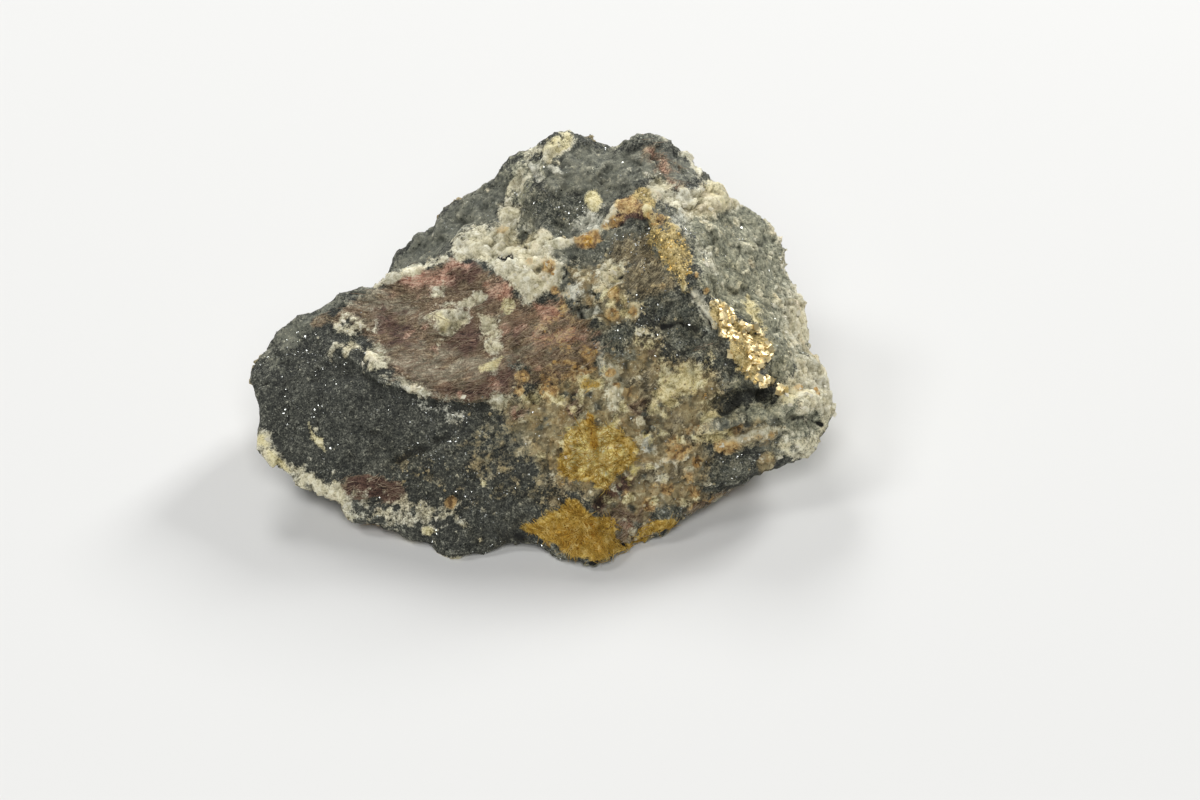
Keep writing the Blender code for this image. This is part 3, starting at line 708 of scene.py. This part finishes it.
def fibrePlaces(points):   # places stretched along the fibres
    right, up, away = (np.array(axis) for axis in photoAxes())
    across = points @ right - brownFur["lowest"]
    down = -(points @ up) + across ** 2 / brownFur["bowl"] + layered(points, [brownFur["waver"]])
    brown = np.stack([across / brownFur["stretch"], down, points @ away / brownFur["squeeze"]], axis=1)
    seen, _ = seenAt(points)
    fans = np.array(ochreFur["middles"], float)
    apart = seen[:, None, :] - fans[None]
    nearest = np.argmin(np.linalg.norm(apart, axis=2), axis=1)
    apart = apart[np.arange(len(points)), nearest] / pixelsPerMm
    radius = np.linalg.norm(apart, axis=1, keepdims=True) + ochreFur["hub"]
    ochre = np.hstack([apart / radius * ochreFur["round"], radius / ochreFur["stretch"]])
    swirl = np.stack([noiseAt(points, ochreFur["swirlSize"], 42 + k) for k in range(3)], axis=1)
    return brown, ochre + ochreFur["swirl"] * swirl


def meshArrays(mesh):   # places in mm and the directions outward
    points = np.empty(len(mesh.vertices) * 3, np.float32)
    mesh.vertices.foreach_get("co", points)
    points = points.reshape(-1, 3).astype(float) / mm
    mesh.calc_loop_triangles()
    corners = np.empty(len(mesh.loop_triangles) * 3, np.int32)
    mesh.loop_triangles.foreach_get("vertices", corners)
    corners = corners.reshape(-1, 3)
    first, second, third = (points[corners[:, k]] for k in range(3))
    across = np.cross(second - first, third - first)
    outward = np.zeros_like(points)
    for k in range(3):
        np.add.at(outward, corners[:, k], across)
    return points, outward / np.linalg.norm(outward, axis=1, keepdims=True)


def applied(made, kind, **settings):
    modifier = made.modifiers.new(kind, kind)
    for key, value in settings.items():
        setattr(modifier, key, value)
    graph = bpy.context.evaluated_depsgraph_get()
    mesh = bpy.data.meshes.new_from_object(made.evaluated_get(graph))
    made.modifiers.clear()
    made.data = mesh


# Relief of each finish, in mm

relief = {
    # noise layers: size, height, seed
    "swells": [(2.3, 0.14, 31), (1.1, 0.11, 32), (0.60, 0.08, 33), (0.36, 0.05, 34)],
    "calm": 0.35,              # share of the swells that the hard dark faces keep
    "bend": (1.1, 0.75),       # size and reach of the noise that bends the cells and crinkles
    "crinkles": [(1.0, 0.07, 37), (0.55, 0.05, 38)],   # sharp little ridges
    # size of the cells, their round height, step from cell to cell, and slope of their faces
    "vein": [(2.6, 0.02, 0.22, 0.18), (1.0, 0.0, 0.10, 0.24)],
    "loose": [(1.10, 0.08, 0.18, 0.32), (0.55, 0.04, 0.06, 0.22)],
    "hard": [(1.80, 0.01, 0.08, 0.16), (0.70, 0.01, 0.03, 0.12)],
    "fibre": (0.42, 0.09, 34),
    "crust": 0.16,
    "crustLumps": (1.2, 1.0, 35),
    "crustThreads": (0.22, 0.6, 36),
    "hollow": 0.16,
}


def liftSkin(points, outward, zones, brown, ochre, shown):
    bendSize, bendReach = relief["bend"]
    bent = points + bendReach * np.stack([noiseAt(points, bendSize, 71 + k) for k in range(3)], axis=1)
    crinkles = np.zeros(len(points))
    for size, height, seed in relief["crinkles"]:
        crinkles += height * (0.3 - np.abs(noiseAt(bent, size, seed)))
    veined = np.maximum(zones["vein"], zones["frost"])
    loose = np.clip(zones["mottle"] + zones["rust"] + 0.5 * zones["paleYellow"], 0, 1) * (1 - veined)
    hard = np.clip(zones["greyRock"] + zones["slate"] + zones["charcoal"], 0, 1) * (1 - veined) * (1 - loose)
    even = 1 - np.clip(veined + loose + hard + zones["brown"] + zones["ochre"], 0, 1)
    lively = np.clip(0.45 * veined + loose + 0.15 * zones["greyRock"], 0, 1)
    rises = layered(points, relief["swells"])
    rises = rises * (relief["calm"] + (1 - relief["calm"]) * lively) + crinkles * (0.25 + 1.2 * lively)
    seams = np.zeros(len(points))
    cellNumbers = {}
    for name, ground in (("vein", veined), ("loose", loose), ("hard", hard + 0.45 * even)):
        for layer, (size, dome, step, slope) in enumerate(relief[name]):
            rims, numbers, faces = cellsAt(bent, size, 1 + layer + len(name))
            rises += ground * (dome * (np.sqrt(rims) - 0.65) + step * (numbers - 0.5) + slope * faces)
            cellNumbers[name, layer] = numbers
            if layer == 0:
                seams = np.maximum(seams, (1 - rims) ** 3 * ground * (0.5 if name == "hard" else 1.0))
    rises += layered(brown, [relief["fibre"]]) * zones["brown"]
    crust = 0.4 + layered(points, [relief["crustLumps"]]) + layered(ochre, [relief["crustThreads"]])
    rises += relief["crust"] * zones["ochre"] * crust
    rises -= relief["hollow"] * zones["soot"]
    seen, _ = seenAt(points)
    for halfWidth, rise, *line in strokes:
        share = np.clip(1 - (lineDistance(seen, line) / halfWidth) ** 2, 0, 1)
        rises += rise * share ** 1.5 * shown
    tones = {
        "crumbTone": cellNumbers["loose", 0] * 0.6 + cellNumbers["loose", 1] * 0.4,
        "lumpTone": cellNumbers["vein", 0] * 0.5 + cellNumbers["vein", 1] * 0.5,
        "seams": seams * np.clip(noiseAt(points, 1.4, 74) * 2.2 + 0.15, 0, 1),   # painted shade in only some of them
    }
    return points + outward * rises[:, None], tones


# The ore itself: each finish as stops from its hollows to its crests; the gaps draw on the low stops as
# painted shade and the crests on the high ones as painted highlight

oreColours = {
    "dark": [(0.22, rgb(36, 38, 35)), (0.42, rgb(58, 60, 55)), (0.56, rgb(74, 75, 68)),
             (0.76, rgb(108, 109, 98)), (0.92, rgb(156, 156, 142))],
    "slate": [(0.14, rgb(66, 68, 61)), (0.38, rgb(98, 100, 90)), (0.58, rgb(122, 123, 109)),
              (0.78, rgb(148, 147, 130)), (0.94, rgb(190, 187, 166))],
    "greyRock": [(0.20, rgb(88, 90, 77)), (0.40, rgb(130, 131, 112)), (0.58, rgb(155, 155, 134)),
                 (0.78, rgb(188, 185, 160)), (0.92, rgb(220, 215, 190))],
    "umber": [(0.18, rgb(70, 64, 50)), (0.40, rgb(108, 100, 80)), (0.56, rgb(134, 124, 100)),
              (0.80, rgb(176, 166, 136))],
    "brown": [(0.14, rgb(68, 55, 46)), (0.38, rgb(107, 91, 75)), (0.54, rgb(133, 116, 97)),
              (0.70, rgb(160, 145, 122)), (0.90, rgb(200, 188, 162))],
    "brownTint": [(0.30, rgb(214, 224, 208)), (0.46, rgb(242, 240, 224)), (0.60, rgb(255, 238, 226)),
                  (0.74, rgb(246, 216, 204))],
    "wisp": [(0.30, rgb(134, 128, 108)), (0.55, rgb(166, 158, 136)), (0.80, rgb(204, 197, 174))],
    "plum": [(0.20, rgb(52, 37, 33)), (0.45, rgb(80, 58, 50)), (0.75, rgb(118, 92, 80))],
    "salmon": [(0.24, rgb(146, 102, 84)), (0.50, rgb(204, 158, 134)), (0.78, rgb(230, 198, 174))],
    "mottle": [(0.16, rgb(66, 61, 47)), (0.36, rgb(110, 101, 78)), (0.52, rgb(144, 132, 101)),
               (0.68, rgb(174, 163, 130)), (0.86, rgb(208, 199, 166))],
    "crumb": [(0.0, rgb(98, 96, 80)), (0.25, rgb(138, 132, 106)), (0.45, rgb(150, 132, 96)),
              (0.62, rgb(176, 162, 122)), (0.80, rgb(164, 136, 90)), (1.0, rgb(196, 187, 154))],
    "charcoal": [(0.20, rgb(46, 49, 45)), (0.42, rgb(80, 83, 75)), (0.58, rgb(106, 107, 95)),
                 (0.76, rgb(142, 142, 127)), (0.92, rgb(180, 179, 163))],
    "vein": [(0.10, rgb(142, 138, 114)), (0.32, rgb(192, 186, 160)), (0.54, rgb(219, 213, 188)),
             (0.82, rgb(245, 242, 225))],
    "veinTint": [(0.0, rgb(214, 218, 208)), (0.35, rgb(252, 252, 248)), (0.7, rgb(255, 251, 232)),
                 (1.0, rgb(250, 236, 222))],
    "frost": [(0.14, rgb(116, 119, 108)), (0.38, rgb(170, 171, 157)), (0.56, rgb(202, 201, 184)),
              (0.80, rgb(234, 233, 218))],
    "rust": [(0.20, rgb(118, 92, 60)), (0.44, rgb(168, 136, 92)), (0.64, rgb(200, 170, 116)),
             (0.86, rgb(224, 202, 152))],
    "paleYellow": [(0.20, rgb(174, 162, 114)), (0.50, rgb(226, 215, 166)), (0.80, rgb(246, 238, 200))],
    "ochre": [(0.10, rgb(100, 74, 20)), (0.36, rgb(162, 126, 42)), (0.58, rgb(204, 168, 70)),
              (0.82, rgb(234, 210, 132))],
    "straw": [(0.08, rgb(168, 140, 68)), (0.34, rgb(240, 218, 130)), (0.58, rgb(255, 242, 166)),
              (0.84, rgb(252, 244, 200))],
    "amber": [(0.18, rgb(104, 68, 14)), (0.42, rgb(158, 110, 26)), (0.70, rgb(206, 162, 62))],
    "goldStain": [(0.18, rgb(102, 92, 64)), (0.42, rgb(152, 136, 88)), (0.62, rgb(194, 172, 114)),
                  (0.84, rgb(228, 212, 164))],
    "stain": [(0.24, rgb(226, 234, 234)), (0.44, rgb(252, 249, 238)), (0.58, rgb(248, 236, 204)),
              (0.76, rgb(236, 210, 160))],
    # painted shade, for the hollows and the crevices
    "soot": (*rgb(20, 20, 18), 1),
    "creviceShade": (*rgb(38, 36, 29), 1),
}


def oreFinish():
    ore = Finish("ore_stone")
    where = ore.places()
    speck = ore.noise(where, 0.13, 2.0, 0.6)
    fine = ore.noise(where, 0.34, 3.0, 0.6)
    broad = ore.noise(where, 1.5, 2.0, 0.5)
    fur = ore.noise(ore.grain("brownPlace"), 0.17, 3.0, 0.6, 0.7)
    strands = ore.noise(ore.grain("brownPlace"), 0.55, 3.0, 0.6, 0.6)
    scratch = ore.noise(ore.grain("ochrePlace"), 0.15, 3.0, 0.6, 0.5)

    def spread(first, *others):   # noises round zero, each with its weight
        total = (first[0] - 0.5) * first[1]
        for value, weight in others:
            total = total + (value - 0.5) * weight
        return total

    # painted highlight on the crests and painted shade in the gaps
    crestLightGapShade = ore.zone("crests") * 0.16 - ore.zone("gaps") * 0.16 + 0.5
    grainy = spread((speck, 1.4), (fine, 1.0), (broad, 0.4)) + crestLightGapShade
    lumpy = spread((speck, 0.9), (fine, 1.4), (broad, 0.6)) + crestLightGapShade
    smooth = spread((speck, 0.5), (fine, 1.0), (broad, 0.8)) + crestLightGapShade
    combed = spread((fur, 1.3), (speck, 1.1), (fine, 0.6), (broad, 0.5)) + crestLightGapShade
    scratchy = spread((scratch, 2.0), (fine, 0.5), (speck, 0.6)) + crestLightGapShade
    ragged = spread((fine, 1.7), (speck, 1.5))
    furry = spread((fur, 1.4), (speck, 0.6))
    threaded = spread((scratch, 1.4))

    def edge(zone, rough=ragged, hard=1.2):   # the zone's share, with an edge as ragged as the grains are
        return ((ore.zone(zone) * 1.8 + rough - 0.9) * hard + 0.5).clamped()

    def tones(name, value):
        return ore.ramp(value, oreColours[name])

    wispy = ((strands - 0.5) * 5 + ore.zone("wisps") * 1.6 - 0.45).clamped()
    browns = ore.mix(0.75, tones("brown", combed), tones("brownTint", broad), "MULTIPLY")
    browns = ore.mix(wispy * 0.75, browns, tones("wisp", combed))
    mottle = ore.mix(0.55, tones("mottle", lumpy), tones("crumb", ore.zone("crumbTone")))
    veins = ore.mix(0.7, tones("vein", lumpy), tones("veinTint", ore.zone("lumpTone")), "MULTIPLY")
    layers = [   # where each finish lies, and its colours, from the ground up
        (edge("slate"), tones("slate", smooth)),
        (edge("greyRock"), tones("greyRock", lumpy)),
        (edge("mottle"), mottle),
        (edge("umber"), tones("umber", combed)),
        (edge("brown", furry), browns),
        (edge("plum", furry) * 0.95, tones("plum", combed)),
        (edge("salmon", furry) * 0.95, tones("salmon", combed)),
        (edge("charcoal"), tones("charcoal", grainy)),
        (edge("vein"), veins),
        (edge("frost"), tones("frost", lumpy)),
        (edge("rust"), tones("rust", lumpy)),
        (edge("paleYellow"), tones("paleYellow", grainy)),
        (edge("ochre", spread((scratch, 1.2), (speck, 0.5)), 1.8), tones("ochre", scratchy)),
        (edge("straw", threaded), tones("straw", scratchy)),
        (edge("amber", threaded), tones("amber", scratchy)),
        (edge("goldStain", ragged, 1.6), tones("goldStain", grainy)),
    ]
    colour = tones("dark", grainy)
    for share, top in layers:
        colour = ore.mix(share, colour, top)
    stained = ore.mix(1.0, colour, tones("stain", ore.noise(where, 0.9, 3.0)), "MULTIPLY")
    colour = ore.mix(ore.zone("stain") * 0.45, colour, stained)
    # painted shade: the hollows turn near-black
    colour = ore.mix(edge("soot", spread((speck, 0.3)), 1.6), colour, oreColours["soot"])
    # painted shade: the crevice colour in some of the cells' seams and in the gaps below the neighbours
    seams = (ore.zone("seams") * 1.3 + (speck - 0.5) * ore.zone("seams")).clamped()
    colour = ore.mix(seams * 0.34, colour, oreColours["creviceShade"])
    colour = ore.mix(ore.zone("gaps") * 0.3, colour, oreColours["creviceShade"])

    facets = ore.node("ShaderNodeTexVoronoi", {}, {"Vector": where, "Scale": 1 / 0.13}, "Color")
    glint = ore.node("ShaderNodeSeparateColor", {}, {"Color": facets}, "Red")
    shine = ((glint - 0.93) * 20).clamped() * (1 - ore.zone("dull"))   # a few facets in a hundred shine
    plain = 1 - ore.zone("slate") * 0.35
    height = (speck * 0.5 + fine * 0.7) * plain + fur * ore.zone("brown") + scratch * ore.zone("ochre") * 1.5
    ore.shader({"Base Color": colour, "Roughness": 0.74 - shine * 0.5, "Metallic": shine * 0.85,
                "Specular IOR Level": 0.3, "Normal": ore.bump(height, 0.9, 0.20)})
    return ore.material


def hollowness(mesh, points, outward):   # how far the neighbours stand above each point, in mm
    edges = np.empty(len(mesh.edges) * 2, np.int32)
    mesh.edges.foreach_get("vertices", edges)
    edges = edges.reshape(-1, 2)
    means = points.copy()
    for _ in range(skin["hollowRounds"]):
        sums = np.zeros_like(points)
        counts = np.zeros(len(points))
        for one, other in ((0, 1), (1, 0)):
            np.add.at(sums, edges[:, one], means[edges[:, other]])
            np.add.at(counts, edges[:, one], 1)
        means = sums / counts[:, None]
    return np.sum((means - points) * outward, axis=1)


def makeSkin():
    made = bpy.data.objects.new("ore_skin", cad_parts["naumannite_ore"].data.copy())
    scene.collection.objects.link(made)
    step = skin["step"]
    applied(made, "REMESH", mode="VOXEL", voxel_size=step * mm)
    applied(made, "SMOOTH", factor=0.5, iterations=skin["smoothing"])
    points, outward = meshArrays(made.data)
    zones, shown = paintZones(points, outward)
    brown, ochre = fibrePlaces(points)
    lifted, tones = liftSkin(points, outward, zones, brown, ochre, shown)
    lifted[:, 2] = np.maximum(lifted[:, 2], 0)   # nothing sinks into the floor
    made.data.vertices.foreach_set("co", (lifted * mm).astype(np.float32).ravel())
    made.data.update()
    points, outward = meshArrays(made.data)
    hollow = hollowness(made.data, points, outward)
    # the gaps take painted shade and the crests a painted highlight
    for name, depth in (("gaps", hollow), ("crests", -hollow)):
        begin, span = skin[name]
        zones[name] = np.clip((depth - begin) / span, 0, 1)
    zones["dull"] = shareOf(zones, "vein", "ochre", "brown", "rust", "paleYellow", "plum")
    for name, values in {**zones, **tones}.items():
        layer = made.data.attributes.new(name, "FLOAT", "POINT")
        layer.data.foreach_set("value", values.astype(np.float32))
    for name, values in {"brownPlace": brown, "ochrePlace": ochre}.items():
        layer = made.data.attributes.new(name, "FLOAT_VECTOR", "POINT")
        layer.data.foreach_set("vector", values.astype(np.float32).ravel())
    made.data.shade_smooth()
    made.data.materials.clear()
    made.data.materials.append(oreFinish())
    return made, points, outward, zones, shown


def shareOf(zones, *names):
    return np.clip(sum(zones[name] for name in names), 0, 1)


# Loose grains, flakes and strands that stand on the skin

def pickSpots(points, weights, count, rng):
    chances = weights / weights.sum()
    count = min(count, np.count_nonzero(weights) // 2)
    return rng.choice(len(points), size=count, replace=False, p=chances)


grainForms = {"kinds": 8, "dents": (0.7, 1.15), "cube": 1.5}   # cube: its side, in radii


def grainShape(rng):   # a small broken crystal: a cube of twelve faces, dented at random
    bm = bmesh.new()
    bmesh.ops.create_cube(bm, size=grainForms["cube"])
    bmesh.ops.triangulate(bm, faces=bm.faces)
    points = np.array([vert.co for vert in bm.verts])
    faces = np.array([[vert.index for vert in face.verts] for face in bm.faces])
    bm.free()
    return points * rng.uniform(*grainForms["dents"], (len(points), 1)), faces


def scatterGrains(name, settings, points, outward, weights):
    rng = np.random.default_rng(settings["seed"])
    spots = pickSpots(points, weights, settings["count"], rng)
    low, high = settings["size"]
    allPoints, allFaces, base = [], [], 0
    shapes = [grainShape(rng) for _ in range(grainForms["kinds"])]
    flat = Matrix.Diagonal((1, 1, settings["flat"]))
    for number, place in enumerate(spots):
        shape, faces = shapes[number % len(shapes)]
        radius = low + (high - low) * rng.random() ** settings["mostlySmall"]
        spin = Euler(rng.uniform(0, 2 * math.pi, 3)).to_matrix()
        normal = Vector(outward[place]) + Vector(rng.normal(0, settings["tilt"], 3))
        lean = normal.to_track_quat("Z", "Y").to_matrix()
        turn = np.array(lean @ flat @ spin)
        middle = points[place] + outward[place] * radius * settings["proud"]
        placed = (shape * radius) @ turn.T + middle
        if placed[:, 2].min() < 0:   # it would sink into what the piece stands on
            continue
        allPoints.append(placed)
        allFaces.append(faces + base)
        base += len(shape)
    made = newObject(name, (np.vstack(allPoints) * mm).tolist(), np.vstack(allFaces).tolist())
    made.data.materials.append(looseFinish(settings))
    return made


strandForm = {"steps": 5, "sides": 3, "taper": 0.7, "sunk": 0.02, "clear": 0.1}   # the last two in mm


def scatterStrands(name, settings, points, outward, weights):   # bent threads lying on the skin
    rng = np.random.default_rng(settings["seed"])
    spots = pickSpots(points, weights, settings["count"], rng)
    right, up, _ = photoAxes()
    seen, _ = seenAt(points)
    steps, sides = strandForm["steps"], strandForm["sides"]
    corners, faces = [], []
    for start in spots:
        normal = Vector(outward[start])
        angle = math.radians(rng.normal(settings["angle"], settings["spread"]))
        if "fans" in settings:   # threads spread and swirl from the middle of the nearest tuft
            ways = [seen[start] - np.array(middle, float) for middle in settings["fans"]]
            apart = min(ways, key=np.linalg.norm)
            swirl = noise.noise(points[start] / ochreFur["swirlSize"])
            angle += math.atan2(-apart[1], apart[0]) + settings["swirl"] * swirl
        run = right * math.cos(angle) + up * math.sin(angle)
        run = (run - normal * run.dot(normal)).normalized()
        side = normal.cross(run)
        length = rng.uniform(*settings["length"])
        thick = rng.uniform(*settings["thick"])
        bend = rng.normal(0, settings["bend"])
        lift = rng.uniform(*settings["lift"])
        if points[start][2] - abs(run.z) * length / 2 < strandForm["clear"]:   # it would reach the floor
            continue
        first = len(corners)
        for step in range(steps):
            along = step / (steps - 1) - 0.5
            arch = 1 - (2 * along) ** 2
            place = Vector(points[start]) + run * length * along + side * bend * length * along ** 2
            place += normal * (lift * arch + settings["proud"] - strandForm["sunk"])
            width = thick * (1 - strandForm["taper"] * abs(2 * along))
            for spoke in range(sides):
                turn = 2 * math.pi * spoke / sides
                corners.append((place + side * width * math.cos(turn) + normal * width * math.sin(turn)) * mm)
        for step in range(steps - 1):
            for spoke in range(sides):
                one = first + step * sides + spoke
                other = first + step * sides + (spoke + 1) % sides
                faces.append((one, other, other + sides, one + sides))
        last = first + (steps - 1) * sides
        faces.append((first + 2, first + 1, first))
        faces.append((last, last + 1, last + 2))
    made = newObject(name, corners, faces)
    made.data.materials.append(looseFinish(settings))
    return made


# Sizes are radii in mm; proud is the share of it by which the middle stands above the skin
quartzGrains = {
    "seed": 3, "count": 500,
    "size": (0.10, 0.30), "mostlySmall": 1.5, "flat": 0.6, "tilt": 0.5, "proud": -0.45,
    "finish": "quartz", "rough": 0.35, "specular": 0.5,
    "colours": [(0.30, rgb(190, 184, 160)), (0.52, rgb(220, 214, 192)), (0.74, rgb(240, 236, 220))],
}
mottleGrains = {
    "seed": 4, "count": 1100,
    "size": (0.07, 0.20), "mostlySmall": 1.6, "flat": 0.8, "tilt": 0, "proud": -0.35,
    "finish": "mixed_grains", "rough": 0.5, "specular": 0.4,
    "colours": [(0.30, rgb(104, 99, 80)), (0.44, rgb(158, 142, 104)), (0.56, rgb(184, 173, 140)),
                (0.70, rgb(206, 190, 146))],
}
rustGrains = {
    "seed": 5, "count": 180,
    "size": (0.08, 0.22), "mostlySmall": 2, "flat": 0.8, "tilt": 0, "proud": -0.3,
    "finish": "rust_crumbs", "rough": 0.5, "specular": 0.4,
    "colours": [(0.35, rgb(156, 118, 70)), (0.55, rgb(194, 158, 96)), (0.70, rgb(214, 188, 128))],
}
goldGrains = {
    "seed": 6, "count": 190,
    "size": (0.14, 0.34), "mostlySmall": 1.0, "flat": 0.6, "tilt": 0.45, "proud": 0.25,
    "finish": "gold", "rough": 0.38, "metal": rgb(248, 230, 182),
}
goldDust = {
    "seed": 7, "count": 90,
    "size": (0.04, 0.14), "mostlySmall": 2, "flat": 0.6, "tilt": 0.4, "proud": 0.1,
    "finish": "gold_powder", "rough": 0.38, "metal": rgb(240, 212, 140),
}
oreSparks = {
    "seed": 8, "count": 2600,
    "size": (0.035, 0.090), "mostlySmall": 2.0, "flat": 0.5, "tilt": 0.5, "proud": -0.1,
    "finish": "spark", "rough": 0.18, "metal": rgb(190, 192, 188),
}
# Angles are degrees from the photo's right, or from the line out of the tuft's middle
ochreThreads = {
    "seed": 9, "count": 3600, "length": (0.5, 1.7), "thick": (0.020, 0.044), "angle": 0, "spread": 48,
    "fans": ochreFur["middles"], "swirl": 4.0, "bend": 0.6, "lift": (0.0, 0.12), "proud": 0.01,
    "finish": "ochre_thread", "rough": 0.7, "specular": 0.2,
    "colours": [(0.3, rgb(124, 88, 24)), (0.5, rgb(186, 150, 66)), (0.7, rgb(232, 210, 138))],
}
brownHairs = {
    "seed": 10, "count": 1700, "length": (0.6, 2.2), "thick": (0.014, 0.034), "angle": 12, "spread": 24,
    "bend": 0.3, "lift": (0.0, 0.05), "proud": 0.0,
    "finish": "brown_hair", "rough": 0.6, "specular": 0.3,
    "colours": [(0.3, rgb(100, 78, 64)), (0.5, rgb(150, 130, 108)), (0.7, rgb(190, 174, 148))],
}


def looseFinish(settings):
    finish = Finish(settings["finish"])
    where = finish.places()
    if "metal" in settings:
        speck = finish.noise(where, 0.10)
        finish.shader({"Base Color": (*settings["metal"], 1), "Metallic": 1.0,
                       "Roughness": speck * 0.2 + settings["rough"], "Normal": finish.bump(speck, 0.3, 0.04)})
        return finish.material
    speck = finish.noise(where, 0.12)
    colour = finish.ramp(finish.noise(where, 0.55) * 0.65 + speck * 0.35, settings["colours"])
    finish.shader({"Base Color": colour, "Roughness": settings["rough"],
                   "Specular IOR Level": settings["specular"], "Normal": finish.bump(speck, 0.4, 0.06)})
    return finish.material


# Where the sparks lie thickest: how far they reach in photo pixels, and the line or point
sparkBeds = [
    (12, (296, 352), (312, 352), (338, 364)), (10, (332, 404), (316, 410)),
    (14, (404, 396), (430, 410), (456, 420)), (8, (442, 440), (452, 444)), (10, (416, 450), (434, 462)),
    (14, (544, 206), (572, 212)), (16, (612, 236), (640, 240), (646, 258)), (10, (660, 512), (680, 510)),
    (12, (726, 466), (744, 458)), (16, (640, 310), (690, 350)), (10, (470, 500), (480, 520)),
    (8, (666, 214), (690, 232)),
]
clustering = {
    "clumps": [(0.9, 1.0, 51), (0.4, 0.5, 52)],   # noise layers of the gold: size in mm, height, seed
    "clumpsFrom": -0.02,
    "between": 0.02,          # share of the gold that lies between the clumps
    "tail": (5, 0.8),         # reach in pixels and share of the gold's tail
    "sparkling": [(2.5, 3, 53), (0.7, 2, 54)],
    "bed": 1.6,               # how much thicker the sparks lie in their beds
    "hiddenHair": 0.15,       # share of the brown hairs on the hidden sides
}


def dressFace(points, outward, zones, shown):
    seen, _ = seenAt(points)
    tailReach, tailShare = clustering["tail"]
    inGold = insideOutline(seen, goldField["outline"]).astype(float)
    inGold += tailShare * (lineDistance(seen, goldTail["streak"]) < tailReach)
    inDust = insideOutline(seen, goldRidge["outline"]).astype(float)
    clumps = (layered(points, clustering["clumps"]) > clustering["clumpsFrom"]) + clustering["between"]
    darkField = 1 - shareOf(zones, "vein", "ochre", "brown", "rust", "paleYellow", "soot")
    sparkly = np.clip(layered(points, clustering["sparkling"]) - 0.1, 0.06, 1)
    for reach, *line in sparkBeds:
        sparkly += clustering["bed"] * np.exp(-(lineDistance(seen, line) / reach) ** 2) * shown
    hidden = clustering["hiddenHair"]
    furred = zones["brown"] ** 2 * (1 - zones["vein"]) * (hidden + (1 - hidden) * shown)
    never = 1e-9   # keeps every place in the draw
    return [
        scatterGrains("quartz_grains", quartzGrains, points, outward, zones["vein"] ** 2),
        scatterGrains("mottle_grains", mottleGrains, points, outward, zones["mottle"] * (1 - zones["ochre"])),
        scatterGrains("rust_grains", rustGrains, points, outward, zones["rust"] ** 2),
        scatterGrains("gold_grains", goldGrains, points, outward, inGold * clumps * shown + never),
        scatterGrains("gold_dust", goldDust, points, outward, inDust * clumps * shown + never),
        scatterGrains("ore_sparks", oreSparks, points, outward, (darkField + 0.03) * sparkly),
        scatterStrands("ochre_threads", ochreThreads, points, outward, np.maximum(zones["ochre"] - 0.3, 0)),
        scatterStrands("brown_hairs", brownHairs, points, outward, furred),
    ]


setCamera()
setStudio()
print("camera, floor and light are set")
skinPiece, skinPoints, skinOutward, skinZones, skinShown = makeSkin()
print("ore skin:", len(skinPiece.data.polygons), "faces")
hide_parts("naumannite_ore")
looseGrains = dressFace(skinPoints, skinOutward, skinZones, skinShown)
for piece in [skinPiece] + looseGrains:
    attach(piece, "root")
print("loose grains:", [(piece.name, len(piece.data.polygons)) for piece in looseGrains])
